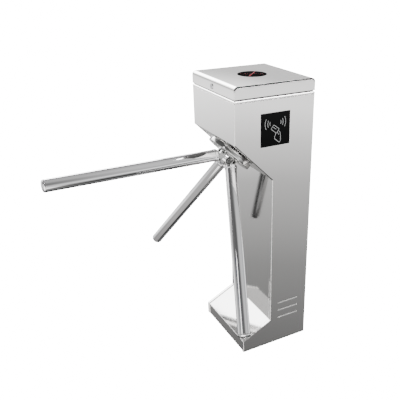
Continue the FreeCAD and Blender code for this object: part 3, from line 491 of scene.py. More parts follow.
def object_mapping(effect: Effect, scale: tuple) -> bpy.types.NodeSocket:
    """Stretch the object coordinates.

    Args:
        effect: the group that gets the nodes.
        scale: how much along each axis.

    Returns:
        The stretched coordinates.
    """
    coordinates = effect.add("ShaderNodeTexCoord")
    mapping = effect.add("ShaderNodeMapping")
    mapping.inputs["Scale"].default_value = scale
    effect.lead(coordinates.outputs["Object"], mapping.inputs["Vector"])
    return mapping.outputs["Vector"]


def noise(effect: Effect, vector: bpy.types.NodeSocket, scale, detail: float = 3.0) -> bpy.types.NodeSocket:
    """Add a noise texture.

    Args:
        effect: the group that gets the node.
        vector: where the noise is read.
        scale: its scale, a number or a socket.
        detail: how many finer layers it has.

    Returns:
        The noise's value.
    """
    made = effect.add("ShaderNodeTexNoise")
    made.inputs["Detail"].default_value = detail
    effect.lead(vector, made.inputs["Vector"])
    effect.lead(scale, made.inputs["Scale"])
    return made.outputs["Fac"]


def build_grain() -> Effect:
    """Polishing grain that runs up the sheet: fine streaks and slow waves in the roughness.

    Roughness is the base, plus the streaks and the slow hand marks times their amounts. Height is
    the streaks and a broad oil-can wave, added.
    """
    effect = Effect("Polishing grain",
                    {"Roughness": 0.1, "Streaks": 0.05, "Hand marks": 0.05, "Wave": 0.3},
                    ("Roughness", "Height"))
    streaks = noise(effect, object_mapping(effect, (900.0, 900.0, 14.0)), 1.0, 2.0)
    marks = noise(effect, object_mapping(effect, (7.0, 7.0, 5.0)), 1.0, 4.0)
    wave = noise(effect, object_mapping(effect, (3.0, 3.0, 1.6)), 1.0, 0.0)
    centred = effect.maths("SUBTRACT", streaks, 0.5)
    rough = effect.maths("MULTIPLY", centred, effect.entry.outputs["Streaks"])
    patchy = effect.maths("SUBTRACT", marks, 0.42)
    smear = effect.maths("MULTIPLY", patchy, effect.entry.outputs["Hand marks"])
    total = effect.maths("ADD", effect.maths("ADD", rough, smear), effect.entry.outputs["Roughness"])
    effect.lead(effect.maths("MAXIMUM", total, 0.015), effect.exit.inputs["Roughness"])
    fine = effect.maths("MULTIPLY", streaks, 0.02)
    broad = effect.maths("MULTIPLY", wave, effect.entry.outputs["Wave"])
    effect.lead(effect.maths("ADD", fine, broad), effect.exit.inputs["Height"])
    return effect


def build_edge_wear() -> Effect:
    """Worn edges: where the rounded normal leaves the face's own, the edge is rubbed brighter.

    The mask is one minus the dot product of the two normals, times the strength, broken up by a
    fine noise and held between nought and one.
    """
    effect = Effect("Edge wear", {"Radius": 0.002, "Strength": 3.0}, ("Mask",))
    bevel = effect.add("ShaderNodeBevel", samples=4)
    effect.lead(effect.entry.outputs["Radius"], bevel.inputs["Radius"])
    surface = effect.add("ShaderNodeNewGeometry")
    product = effect.add("ShaderNodeVectorMath", operation="DOT_PRODUCT")
    effect.lead(bevel.outputs["Normal"], product.inputs[0])
    effect.lead(surface.outputs["Normal"], product.inputs[1])
    turned = effect.maths("SUBTRACT", 1.0, product.outputs["Value"])
    strong = effect.maths("MULTIPLY", turned, effect.entry.outputs["Strength"])
    broken = effect.maths("ADD", noise(effect, object_mapping(effect, (60.0, 60.0, 60.0)), 1.0), 0.45)
    mask = effect.maths("MINIMUM", effect.maths("MULTIPLY", strong, broken), 1.0)
    effect.lead(effect.maths("MAXIMUM", mask, 0.0), effect.exit.inputs["Mask"])
    return effect


def build_dust() -> Effect:
    """Settled dust: heavier on faces that look up, in soft patches.

    The mask is the face normal's upward part raised to a power, times a patchy noise and the
    amount.
    """
    effect = Effect("Settled dust", {"Amount": 0.2}, ("Mask",))
    surface = effect.add("ShaderNodeNewGeometry")
    parts = effect.add("ShaderNodeSeparateXYZ")
    effect.lead(surface.outputs["Normal"], parts.inputs[0])
    upward = effect.maths("POWER", effect.maths("MAXIMUM", parts.outputs["Z"], 0.0), 3.0)
    patches = noise(effect, object_mapping(effect, (26.0, 26.0, 26.0)), 1.0, 5.0)
    shaped = effect.maths("MULTIPLY", upward, patches)
    effect.lead(effect.maths("MULTIPLY", shaped, effect.entry.outputs["Amount"]), effect.exit.inputs["Mask"])
    return effect


def build_pebble() -> Effect:
    """Moulded plastic skin: fine pebbles for the height and a slight change of roughness."""
    effect = Effect("Moulded skin", {"Roughness": 0.5, "Scale": 900.0},
                    ("Roughness", "Height"))
    grain = noise(effect, object_mapping(effect, (1.0, 1.0, 1.0)), effect.entry.outputs["Scale"], 2.0)
    shift = effect.maths("MULTIPLY", effect.maths("SUBTRACT", grain, 0.5), 0.25)
    total = effect.maths("ADD", shift, effect.entry.outputs["Roughness"])
    effect.lead(total, effect.exit.inputs["Roughness"])
    effect.lead(grain, effect.exit.inputs["Height"])
    return effect


class Effects:
    """The shared effect groups, each built the first time that it is asked for."""

    makers = {"grain": build_grain, "wear": build_edge_wear, "dust": build_dust, "pebble": build_pebble}
    made: dict = {}

    @classmethod
    def get(cls, name: str) -> Effect:
        """Find an effect.

        Args:
            name: its short name.

        Returns:
            The effect.
        """
        if name not in cls.made:
            cls.made[name] = cls.makers[name]()
        return cls.made[name]


# --- Finishes --------------------------------------------------------------------------------


class Paint(NodeBuilder):
    """A material under construction, with its Principled shader."""

    def __init__(self, name: str) -> None:
        """Start a node material.

        Args:
            name: the material's name.
        """
        self.material = bpy.data.materials.new(name)
        self.material.use_nodes = True
        super().__init__(self.material.node_tree)
        self.shader = self.tree.nodes["Principled BSDF"]

    def effect(self, name: str, **values: float) -> bpy.types.Node:
        """Place one of the shared effects.

        Args:
            name: the effect's short name.
            values: its inputs, with underscores for spaces.

        Returns:
            The group node.
        """
        made = self.add("ShaderNodeGroup", node_tree=Effects.get(name).tree)
        for label, value in values.items():
            made.inputs[label.replace("_", " ")].default_value = value
        return made

    def fix(self, **values) -> None:
        """Set values on the shader's own sockets.

        Args:
            values: socket name, with underscores for spaces, to value.
        """
        for label, value in values.items():
            self.shader.inputs[label.replace("_", " ")].default_value = value

    def feed(self, start: bpy.types.NodeSocket, socket: str) -> None:
        """Lead a socket into one of the shader's.

        Args:
            start: the socket.
            socket: the name of the shader's input.
        """
        self.lead(start, self.shader.inputs[socket])

    def bump(self, height: bpy.types.NodeSocket, strength: float, distance: float,
             normal: bpy.types.NodeSocket = None) -> bpy.types.NodeSocket:
        """Turn a height into a normal.

        Args:
            height: the height.
            strength: how strongly it shows.
            distance: how high the height of one stands, in metres.
            normal: the normal that it is laid over, if not the surface's own.

        Returns:
            The normal.
        """
        made = self.add("ShaderNodeBump")
        made.inputs["Strength"].default_value = strength
        made.inputs["Distance"].default_value = distance
        self.lead(height, made.inputs["Height"])
        if normal is not None:
            self.lead(normal, made.inputs["Normal"])
        return made.outputs["Normal"]

    def rounded_normal(self, radius: float) -> bpy.types.NodeSocket:
        """Round sharp edges in the shading.

        Args:
            radius: how far they are rounded, in metres.

        Returns:
            The normal.
        """
        made = self.add("ShaderNodeBevel", samples=6)
        made.inputs["Radius"].default_value = radius
        return made.outputs["Normal"]


@dataclass(frozen=True)
class Metal:
    """A bare or plated metal finish."""

    name: str
    colour: tuple
    worn: tuple
    roughness: float
    streaks: float
    marks: float
    wave: float
    edge: float
    dust: float = 0.12
    bump: float = 0.0004

    def make(self) -> bpy.types.Material:
        """Build the material: grain in the roughness and normal, rubbed edges, settled dust."""
        paint = Paint(self.name)
        grain = paint.effect("grain", Roughness=self.roughness, Streaks=self.streaks,
                             Hand_marks=self.marks, Wave=self.wave)
        wear = paint.effect("wear", Radius=self.edge, Strength=2.5)
        dust = paint.effect("dust", Amount=self.dust)
        rubbed = paint.mix(wear.outputs["Mask"], self.colour, self.worn)
        paint.feed(paint.mix(dust.outputs["Mask"], rubbed, (0.55, 0.53, 0.50, 1.0)), "Base Color")
        paint.feed(grain.outputs["Roughness"], "Roughness")
        normal = paint.rounded_normal(self.edge)
        paint.feed(paint.bump(grain.outputs["Height"], 0.5, self.bump, normal), "Normal")
        paint.fix(Metallic=1.0)
        return paint.material


@dataclass(frozen=True)
class Moulded:
    """A moulded plastic or rubber finish."""

    name: str
    colour: tuple
    roughness: float
    scale: float
    depth: float = 0.0002

    def make(self) -> bpy.types.Material:
        """Build the material: pebbled skin, a little dust and soft edges."""
        paint = Paint(self.name)
        skin = paint.effect("pebble", Roughness=self.roughness, Scale=self.scale)
        dust = paint.effect("dust", Amount=0.25)
        paint.feed(paint.mix(dust.outputs["Mask"], self.colour, (0.4, 0.39, 0.37, 1.0)), "Base Color")
        paint.feed(skin.outputs["Roughness"], "Roughness")
        paint.feed(paint.bump(skin.outputs["Height"], 0.4, self.depth), "Normal")
        return paint.material


@dataclass(frozen=True)
class Gloss:
    """A dark glossy window: black acrylic with faint wipe marks in its polish."""

    name: str
    colour: tuple
    roughness: float
    shine: float

    def make(self) -> bpy.types.Material:
        """Build the material: a clear coat over black, with wipe marks in the roughness."""
        paint = Paint(self.name)
        grain = paint.effect("grain", Roughness=self.roughness, Streaks=0.01, Hand_marks=0.1, Wave=0.1)
        dust = paint.effect("dust", Amount=0.02)
        paint.feed(paint.mix(dust.outputs["Mask"], self.colour, (0.3, 0.3, 0.3, 1.0)), "Base Color")
        paint.feed(grain.outputs["Roughness"], "Roughness")
        paint.feed(paint.bump(grain.outputs["Height"], 0.05, 0.0002), "Normal")
        paint.fix(Specular_IOR_Level=self.shine, IOR=1.49)
        return paint.material


@dataclass(frozen=True)
class Printed:
    """A printed mark: flat ink with a slightly uneven tone."""

    name: str
    light: tuple
    dark: tuple

    def make(self) -> bpy.types.Material:
        """Build the material: two tones of ink mixed by a fine noise."""
        paint = Paint(self.name)
        skin = paint.effect("pebble", Roughness=0.5, Scale=400.0)
        paint.feed(paint.mix(skin.outputs["Height"], self.dark, self.light), "Base Color")
        paint.feed(skin.outputs["Roughness"], "Roughness")
        return paint.material


@dataclass(frozen=True)
class Lamp:
    """A lit indicator lamp: a coloured glow that is hottest where the lens is clear."""

    name: str
    colour: tuple
    dim: tuple
    strength: float

    def make(self) -> bpy.types.Material:
        """Build the material: two depths of the lamp's colour mixed by a noise, and glowing."""
        paint = Paint(self.name)
        skin = paint.effect("pebble", Roughness=0.3, Scale=500.0)
        glow = paint.mix(skin.outputs["Height"], self.dim, self.colour)
        paint.feed(glow, "Base Color")
        paint.feed(glow, "Emission Color")
        paint.feed(skin.outputs["Roughness"], "Roughness")
        paint.fix(Emission_Strength=self.strength)
        return paint.material


@dataclass(frozen=True)
class Board:
    """A circuit board: green lacquer with a darker copper pattern under it."""

    name: str
    colour: tuple
    track: tuple

    def make(self) -> bpy.types.Material:
        """Build the material: square cells of copper under the lacquer."""
        paint = Paint(self.name)
        coordinates = paint.add("ShaderNodeTexCoord")
        cells = paint.add("ShaderNodeTexVoronoi", distance="CHEBYCHEV", feature="F1")
        cells.inputs["Scale"].default_value = 160.0
        paint.lead(coordinates.outputs["Object"], cells.inputs["Vector"])
        step = paint.add("ShaderNodeMath", operation="GREATER_THAN")
        step.inputs[1].default_value = 0.38
        paint.lead(cells.outputs["Distance"], step.inputs[0])
        skin = paint.effect("pebble", Roughness=0.35, Scale=300.0)
        paint.feed(paint.mix(step.outputs[0], self.colour, self.track), "Base Color")
        paint.feed(skin.outputs["Roughness"], "Roughness")
        paint.feed(paint.bump(step.outputs[0], 0.3, 0.0001), "Normal")
        return paint.material


class Finish(Enum):
    """Every finish on the turnstile."""

    SHEET = Metal("mirror_polished_sheet", (0.81, 0.80, 0.79, 1.0), (0.94, 0.93, 0.92, 1.0),
                  0.06, 0.03, 0.05, 0.25, 0.0028)
    CHROME = Metal("plated_tube", (0.84, 0.84, 0.85, 1.0), (0.92, 0.92, 0.92, 1.0),
                   0.045, 0.01, 0.05, 0.05, 0.0008, 0.06)
    MACHINED = Metal("machined_steel", (0.60, 0.60, 0.61, 1.0), (0.80, 0.80, 0.80, 1.0),
                     0.28, 0.12, 0.10, 0.05, 0.0006)
    # Painted highlight: a near-white rough finish that draws light lines along the louvre blades.
    CUT_EDGE = Metal("painted_highlight_blade_edge", (0.95, 0.94, 0.93, 1.0), (1.0, 0.99, 0.98, 1.0),
                     0.42, 0.05, 0.05, 0.05, 0.0004, 0.0)
    # Polished casting, with its colour darkened below the plated tube's: the darker colour is painted shade
    # over the hub.
    HUB = Metal("polished_casting_painted_shade", (0.56, 0.56, 0.555, 1.0), (0.90, 0.90, 0.89, 1.0),
                0.10, 0.03, 0.08, 0.08, 0.0010, 0.06)
    ZINC = Metal("zinc_plated_steel", (0.62, 0.64, 0.63, 1.0), (0.75, 0.75, 0.73, 1.0),
                 0.38, 0.10, 0.22, 0.05, 0.0008)
    WINDOW = Gloss("dark_acrylic", (0.0015, 0.0015, 0.002, 1.0), 0.06, 0.06)
    DISPLAY = Gloss("coated_display_window", (0.001, 0.001, 0.0012, 1.0), 0.1, 0.0001)
    PLASTIC = Moulded("black_moulding", (0.03, 0.03, 0.032, 1.0), 0.55, 900.0)
    # Black rubber for the cable gland and the arms' end rings; the same black is painted shade on the slope's
    # strip and in the lid's end grooves.
    RUBBER = Moulded("black_rubber_and_painted_shade", (0.008, 0.008, 0.008, 1.0), 0.75, 500.0)
    MARK = Printed("pale_print", (0.62, 0.63, 0.63, 1.0), (0.48, 0.49, 0.49, 1.0))
    LAMP = Lamp("red_lamp", (0.9, 0.02, 0.05, 1.0), (0.30, 0.0, 0.03, 1.0), 0.5)
    BOARD = Board("green_board", (0.02, 0.13, 0.06, 1.0), (0.06, 0.26, 0.12, 1.0))

    def material(self) -> bpy.types.Material:
        """Make the finish's material, once.

        Returns:
            The material.
        """
        found = bpy.data.materials.get(self.value.name)
        return found or self.value.make()


def dress(piece: bpy.types.Object, finish: Finish) -> None:
    """Give a piece one finish.

    Args:
        piece: the piece.
        finish: its finish.
    """
    piece.data.materials.clear()
    piece.data.materials.append(finish.material())


def dress_nodes(names: str, finish: Finish) -> None:
    """Give CAD nodes a finish in all their material slots.

    Args:
        names: the nodes' names in one line.
        finish: their finish.
    """
    for name in names.split():
        node = frame["nodes"][name]
        if not node.material_slots:
            node.data.materials.append(finish.material())
        for material_slot in node.material_slots:
            material_slot.material = finish.material()


def fit_piece(piece: bpy.types.Object, body: str, slot: str, finish: Finish, *nodes: str) -> bpy.types.Object:
    """Finish a new piece: its material, the body that it rides and what it replaces.

    Args:
        piece: the new object.
        body: the CAD body that it moves with.
        slot: the record's material slot; not used.
        finish: its finish.
        nodes: CAD nodes that it stands for.

    Returns:
        The same piece.
    """
    dress(piece, finish)
    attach(piece, body)
    if nodes:
        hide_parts(*nodes)
    LOG.info("%s rides on %s", piece.name, body)
    return piece


def joint_named(name: str) -> dict:
    """Find a joint of the record.

    Args:
        name: the joint's name.

    Returns:
        The joint's row.
    """
    return [j for j in frame["joints"] if j["name"] == name][0]


def spin_axes() -> Axes:
    """Make the hub's frame.

    Returns:
        The frame, its long axis out of the slope.
    """
    joint = joint_named("tripod_spin")
    return axes_along(np.array(joint["pos_m"]), np.array(joint["axis"]), SIDEWAYS)


# --- Sub-assemblies --------------------------------------------------------------------------


@dataclass
class Cabinet:
    """The sheet cabinet: its polished panels, its louvres' blades, whose pale finish is a painted highlight,
    and a dark strip of painted shade along the slope.
    """

    sheets: str = "side_panel_left side_panel_right head_front_panel centre_panel rear_panel top_rim"
    plated: str = "base_plate lid_catch electronics_plate power_supply"
    machined: str = "rear_panel_screws lid_hinge_fixed_leaves lid_hinge_pins"
    louvre_centre: float = 67 * MM
    louvre_length: float = 84 * MM
    louvre_lowest: float = 108.5 * MM
    louvre_pitch: float = 32.5 * MM
    louvre_half: float = 2 * MM
    louvre_count: int = 3
    lip_height: float = 816 * MM
    recess_depth: float = 142 * MM
    blade_gap: float = 0.1 * MM
    blade_front: float = 0.3 * MM
    blade_foot: float = 0.2 * MM
    blade_lean: float = 1.6 * MM
    blade_back: float = 1.9 * MM
    shade_line_width: float = 2.6 * MM
    shade_line_inset: float = 0.3 * MM
    shade_line_proud: float = 0.35 * MM
    shade_line_points: int = 24

    def build(self) -> None:
        """Dress the cabinet's nodes, fit the louvres' blades and the slope's dark strip of painted shade."""
        self.build_louvres()
        self.build_shade_line()
        dress_nodes(self.sheets, Finish.SHEET)
        dress_nodes(self.plated, Finish.ZINC)
        dress_nodes(self.machined, Finish.MACHINED)
        dress_nodes("cable_gland", Finish.RUBBER)
        LOG.info("cabinet dressed")

    def build_louvres(self) -> None:
        """Fit a pressed blade in each louvre hole, sloping up and out to the sheet's face.

        A blade's section is a strip that leans in at the top; it is drawn out along the hole. The blades'
        near-white, rough finish is a painted highlight that shows each louvre as a light line.
        """
        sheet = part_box("side_panel_right")[1].x
        half, gap = self.louvre_half, self.blade_gap
        low_y = self.louvre_centre - self.louvre_length / 2 + gap
        blades = []
        for number in range(self.louvre_count):
            middle = self.louvre_lowest + number * self.louvre_pitch
            section = np.array([
                (-self.blade_front, -half + gap), (-self.blade_front, self.blade_foot),
                (-self.blade_lean, half - gap), (-self.blade_back, half - gap),
                (-self.blade_back, -half + gap),
            ])
            corner = Axes(np.array([sheet, 0.0, middle]), SIDEWAYS,
                          UP, DEPTH)
            high_y = low_y + self.louvre_length - 2 * gap
            blades.append(prism(f"blade_{number}", corner, section, low_y, high_y))
        louvres = join_pieces("side_louvre_blades", blades)
        # Painted highlight: the blades' near-white finish stands in for light lines along the louvres.
        fit_piece(louvres, "cabinet", "polished_steel", Finish.CUT_EDGE)

    def build_shade_line(self) -> None:
        """Lay a thin dark strip on each side sheet along the slope, just inside its edge: painted shade that
        stands in for the shade line along that edge.
        """
        low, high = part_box("side_panel_right")
        inset = self.shade_line_width / 2 + self.shade_line_inset
        start = np.array([low.y, self.lip_height]) + inset * np.array([1.0, 1.0]) / math.sqrt(2.0)
        run = np.linspace(0.0, self.recess_depth, self.shade_line_points)[:, None]
        path = start + run * np.array([1.0, -1.0])
        shade_strips = []
        for side in (-1.0, 1.0):
            face = Axes(np.array([side * high.x, 0.0, 0.0]), side * DEPTH,
                        UP, side * SIDEWAYS)
            drawn = path * np.array([side, 1.0])
            shade_strips.append(ribbon("strip", face, drawn, self.shade_line_width, self.shade_line_proud))
        # Painted shade: black strips laid where the slope's edge shows only a shade line.
        fit_piece(join_pieces("slope_painted_shade_line", shade_strips), "cabinet", "polished_steel", Finish.RUBBER)


@dataclass
class Lid:
    """The folded lid, its end plates, its lock and its round display."""

    fold_radius: float = 13 * MM
    gauge: float = 2 * MM
    seam: float = 0.1 * MM
    groove: float = 4.4 * MM
    steps: int = 14
    end_drop: float = 1 * MM
    end_round: float = 0.5 * MM
    shade_filler_sunk: float = 0.4 * MM
    window_radius: float = 50 * MM
    window_sunk: float = 0.2 * MM
    window_lip: float = 1.5 * MM
    window_round: float = 0.4 * MM
    lamp_rise: tuple = (-0.3 * MM, 0.1 * MM, 0.18 * MM)
    lamp_radius: float = 1.0 * MM

    def build(self) -> None:
        """Build the lid's pieces and dress its nodes."""
        self.build_shell()
        self.build_ends()
        self.build_window()
        dress_nodes("lid_hinge_moving_leaves lid_lock_barrel lid_lock_cam", Finish.MACHINED)
        dress_nodes("display_board", Finish.BOARD)

    def build_shell(self) -> None:
        """Carry the lid's folded profile across its width.

        The profile runs up the front, round a quarter circle, over the top, round another and
        down the back, then returns inside it, one gauge in, with smaller quarter circles.
        """
        low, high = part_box("lid_shell")
        r, g = self.fold_radius, self.gauge
        outer = [(low.y, low.z), (low.y, high.z), (high.y, high.z), (high.y, low.z)]
        inner = [(high.y - g, low.z), (high.y - g, high.z - g), (low.y + g, high.z - g), (low.y + g, low.z)]
        profile = np.vstack([rounded_profile(outer, r, self.steps),
                             rounded_profile(inner, r - g, self.steps)])
        axes = Axes(np.zeros(3), DEPTH, UP, SIDEWAYS)
        shell = prism("lid_folded_shell", axes, profile, low.x + self.seam, high.x - self.seam)
        shell.data.polygons.foreach_set("use_smooth", np.full(len(shell.data.polygons), True))
        flat_end_normals(shell)
        fit_piece(shell, "lid", "polished_steel", Finish.SHEET, "lid_shell")

    def build_ends(self) -> None:
        """Fit the end plates, which stop short of the fold, and dark fillers in the grooves, which are
        painted shade.

        A plate's outline is the lid's, drawn in by the groove from the foot of one fold over the
        top to the foot of the other. A dark filler fills the strip between that line and the lid's: painted
        shade in place of the shadow gap there.
        """
        axes = Axes(np.zeros(3), DEPTH, UP, SIDEWAYS)
        shade_fillers = []
        for side in ("left", "right"):
            low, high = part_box(f"lid_end_{side}")
            foot = high.z - self.fold_radius - self.end_drop
            drawn_in = self.folded_line(low, high, self.groove, foot)
            front, back = [(low.y, low.z), (low.y, foot)], [(high.y, foot), (high.y, low.z)]
            outline = np.vstack([front, drawn_in, back])
            plate = prism(f"lid_end_plate_{side}", axes, outline, low.x, high.x, self.end_round)
            fit_piece(plate, "lid", "polished_steel", Finish.SHEET, f"lid_end_{side}")
            outside = self.folded_line(low, high, self.seam, foot + self.seam)
            inside = self.folded_line(low, high, self.groove - self.seam, foot + self.seam)
            sunk = self.shade_filler_sunk
            near, far = (low.x + sunk, high.x) if side == "left" else (low.x, high.x - sunk)
            shade_fillers.append(prism(f"seal_{side}", axes, np.vstack([outside, inside[::-1]]), near, far))
        # Painted shade: black fillers in the end grooves stand in for the shadow gap under the shell.
        fit_piece(join_pieces("lid_end_shade_fillers", shade_fillers), "lid", "polished_steel", Finish.RUBBER)

    def folded_line(self, low: Vector, high: Vector, inset: float, foot: float) -> np.ndarray:
        """The lid's folded outline above a height, drawn in all round by the same amount.

        Args:
            low: the lid's low corner.
            high: its high corner.
            inset: how far the line is drawn in.
            foot: the height at which it starts and ends.

        Returns:
            The line's points as (y, z), from the front over the top to the back.
        """
        r = self.fold_radius
        front = arc((low.y + r, high.z - r), r - inset, 180, 90)
        back = arc((high.y - r, high.z - r), r - inset, 90, 0)
        return np.vstack([[(low.y + inset, foot)], front, back, [(high.y - inset, foot)]])

    def build_window(self) -> None:
        """Turn the display's dark window and set its lamps just proud of it."""
        low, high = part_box("display_window")
        lip = (high.x - low.x) / 2
        top = high.z - self.window_sunk
        shoulder = low.z + self.window_lip
        axes = Axes(np.zeros(3), *np.eye(3))
        profile = [(0, low.z), (lip, low.z), (lip, shoulder), (self.window_radius, shoulder),
                   (self.window_radius, top), (0, top)]
        window = lathe("display_dark_window", axes, profile, self.window_round)
        flat_end_normals(window)
        fit_piece(window, "lid", "dark_window", Finish.DISPLAY, "display_window")
        foot, rim, crown = self.lamp_rise
        bead = [(0, foot), (self.lamp_radius, foot), (self.lamp_radius, rim), (0, crown)]
        lamps = [
            lathe(f"lamp_{i}", Axes(np.array([x, y, top]), *np.eye(3)), bead, turns=12)
            for i, (x, y) in enumerate(self.lamp_places())
        ]
        lit = join_pieces("display_lamps_lit", lamps)
        fit_piece(lit, "lid", "dark_window", Finish.LAMP)

    def lamp_places(self) -> list:
        """Place the lit lamps: a dotted row across, and a close diagonal stroke through it.

        Returns:
            (x, y) pairs on the display.
        """
        row = [(k * 3.6 * MM, k * 6.4 * MM) for k in range(-5, 6)]
        stroke = [(-k * 2.0 * MM, k * 1.93 * MM) for k in range(-15, 16) if k]
        return row + stroke


@dataclass
class Reader:
    """The card reader: its dark window's printed mark, its housing and its board."""

    stroke: float = 1.4 * MM
    raise_by: float = 0.12 * MM

    def build(self) -> None:
        """Dress the reader's nodes and print its mark."""
        dress_nodes("reader_window", Finish.WINDOW)
        dress_nodes("reader_housing", Finish.PLASTIC)
        dress_nodes("reader_board", Finish.BOARD)
        low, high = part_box("reader_window")
        centre = np.array([high.x, (low.y + high.y) / 2, (low.z + high.z) / 2])
        axes = Axes(centre, DEPTH, UP, SIDEWAYS)
        strokes = [
            ribbon(f"stroke_{i}", axes, path * MM, self.stroke, self.raise_by)
            for i, path in enumerate(self.wave_paths() + self.card_paths() + self.hand_paths())
        ]
        mark = join_pieces("reader_printed_mark", strokes)
        fit_piece(mark, "cabinet", "dark_window", Finish.MARK)

    def wave_paths(self) -> list:
        """Three arcs on each side, spreading from the card, in millimetres on the window."""
        spreads = ((16, 24), (24, 28), (34, 30))
        left = [arc((-6, 20), radius, 180 - half, 180 + half) for radius, half in spreads]
        right = [arc((4, 22), radius, -half, half) for radius, half in spreads]
        return left + right

    def card_paths(self) -> list:
        """The tilted card's outline and its stripe."""
        tilt = np.radians(-38.0)
        turn = np.array([[np.cos(tilt), np.sin(tilt)], [-np.sin(tilt), np.cos(tilt)]])
        half = np.array([13.0, 8.5])
        corners = [(-1, -1), (1, -1), (1, 1), (-1, 1), (-1, -1), (1, -1)]
        outline = rounded_profile([np.array(c) * half for c in corners], 2.2)[:-2]
        stripe = np.array([[-9.0, 1.5], [4.0, 1.5]])
        return [outline @ turn + (-2.0, 1.0), np.linspace(stripe[0], stripe[1], 6) @ turn + (-2.0, 1.0)]

    def hand_paths(self) -> list:
        """A plain hand that holds the card: its back, its fingers and its thumb."""
        back = rounded_profile([(9, -4), (17, -12), (19, -24), (19, -40), (15, -46)], 5.0)
        front = rounded_profile([(15, -46), (4, -38), (-3, -32), (-4, -25), (-1, -19), (1, -11)], 4.0)
        thumb = rounded_profile([(6, -9), (9, -14), (12, -20)], 3.0)
        return [back, front, thumb]


@dataclass
class TripodHub:
    """The turning hub: its round cover, the fork head, its screws and its pins."""

    cover_radius: float = 85 * MM
    cover_low: float = 2 * MM
    cover_high: float = 19 * MM
    skin: float = 3 * MM
    axes: Axes = field(default_factory=spin_axes)

    def build(self) -> None:
        """Build the hub's cover and dress the rest."""
        profile = [
            (0, self.cover_high - self.skin),
            (self.cover_radius - self.skin, self.cover_high - self.skin),
            (self.cover_radius - self.skin, self.cover_low),
            (self.cover_radius, self.cover_low),
            (self.cover_radius, self.cover_high),
            (0, self.cover_high),
        ]
        cover = lathe("hub_round_cover", self.axes, profile, 2.4 * MM, turns=160)
        flat_end_normals(cover, 25.0)
        # Painted shade: the cover and the hub's parts take the darkened casting finish.
        fit_piece(cover, "tripod", "polished_steel", Finish.HUB, "hub_disc")
        dress_nodes("arm_carrier arm_pivot_pins hub_screws", Finish.HUB)


@dataclass
class Arm:
    """One folding arm: a plated tube, its collar and tongue, its domed end cap and the dark ring."""

    number: int
    radius: float = 20.5 * MM
    wall: float = 1.5 * MM
    collar_start: float = 13 * MM
    collar_length: float = 13 * MM
    collar_proud: float = 1.3 * MM
    tongue_half: float = 7 * MM
    tongue_round: float = 0.8 * MM
    eye_radius: float = 11 * MM
    length: float = 592.7 * MM
    cap_length: float = 10 * MM
    ring_length: float = 1.4 * MM
    ring_inset: float = 0.5 * MM
    plug_depth: float = 10 * MM
    dome_steps: int = 14

    def arm_axes(self) -> Axes:
        """The arm's frame at its pivot: the long axis leans out from the hub's by the cone angle."""
        hub = spin_axes()
        joint = joint_named(f"arm_{self.number}_fold")
        pivot = np.array(joint["pos_m"])
        offset = pivot - hub.origin
        radial = offset - (offset @ hub.along) * hub.along
        radial /= np.linalg.norm(radial)
        along = math.cos(ARM_CONE) * hub.along + math.sin(ARM_CONE) * radial
        return axes_along(pivot, along, np.array(joint["axis"]))

    def build(self) -> None:
        """Build the arm's pieces."""
        axes = self.arm_axes()
        body = f"arm_{self.number}"
        tube_start = self.collar_start + self.collar_length
        tube_end = self.length - self.cap_length
        inner = self.radius - self.wall
        tube = lathe(f"{body}_plated_tube", axes, [
            (0, tube_start + self.radius), (inner, tube_start + self.radius), (inner, tube_start),
            (self.radius, tube_start), (self.radius, tube_end), (inner, tube_end),
            (inner, tube_end - self.plug_depth), (0, tube_end - self.plug_depth),
        ], 0.3 * MM)
        flat_end_normals(tube)
        fit_piece(tube, body, "chrome_tube", Finish.CHROME, f"{body}_tube")
        dome_start = tube_end + self.ring_length
        rise = self.length - dome_start
        angle = np.linspace(0.0, math.pi / 2, self.dome_steps)[1:-1]
        dome = [(self.radius * math.cos(a) ** 0.5, dome_start + rise * math.sin(a)) for a in angle]
        cap = lathe(f"{body}_end_cap", axes,
                    [(0, dome_start), (self.radius, dome_start), *dome, (0, self.length)])
        flat_end_normals(cap, 40.0)
        fit_piece(cap, body, "chrome_tube", Finish.CHROME, f"{body}_cap")
        ring = lathe(f"{body}_end_ring", axes, [
            (0, tube_end), (self.radius - self.ring_inset, tube_end),
            (self.radius - self.ring_inset, dome_start), (0, dome_start),
        ])
        flat_end_normals(ring)
        fit_piece(ring, body, "chrome_tube", Finish.RUBBER)
        proud = self.radius + self.collar_proud
        collar = lathe(f"{body}_collar", axes, [
            (0, self.collar_start), (proud - 3 * MM, self.collar_start),
            (proud, self.collar_start + 3.5 * MM), (proud, tube_start), (inner, tube_start), (0, tube_start),
        ], 1.6 * MM)
        flat_end_normals(collar, 25.0)
        fit_piece(collar, body, "chrome_tube", Finish.CHROME, f"{body}_knuckle")
        tongue = self.build_tongue(axes)
        fit_piece(tongue, body, "chrome_tube", Finish.CHROME)

    def build_tongue(self, axes: Axes) -> bpy.types.Object:
        """Draw the flat tongue out across the fork: a half circle round the pin, then straight sides."""
        round_end = arc((0.0, 0.0), self.eye_radius, 0, -180, 33)
        top = self.collar_start + 1 * MM
        outline = np.vstack([[(self.eye_radius, top)], round_end, [(-self.eye_radius, top)]])
        flat = Axes(axes.origin, axes.across, axes.along, axes.beside)
        half = self.tongue_half
        return prism(f"arm_{self.number}_tongue", flat, outline, -half, half, self.tongue_round)


@dataclass
class Mechanism:
    """What turns and locks inside the head, and the electronics in the column."""

    machined: str = ("hub_shaft index_wheel lock_wheel front_bearing rear_bearing mechanism_pillars "
                     "lock_bolt_left lock_bolt_right index_lever index_spring")
    plated: str = "mechanism_front_plate mechanism_rear_plate lock_solenoids sensor_disc"
    plastic: str = "position_sensor terminal_block index_roller"

    def build(self) -> None:
        """Dress the mechanism's nodes."""
        dress_nodes(self.machined, Finish.MACHINED)
        dress_nodes(self.plated, Finish.ZINC)
        dress_nodes(self.plastic, Finish.PLASTIC)
        dress_nodes("control_board", Finish.BOARD)
        LOG.info("mechanism dressed")


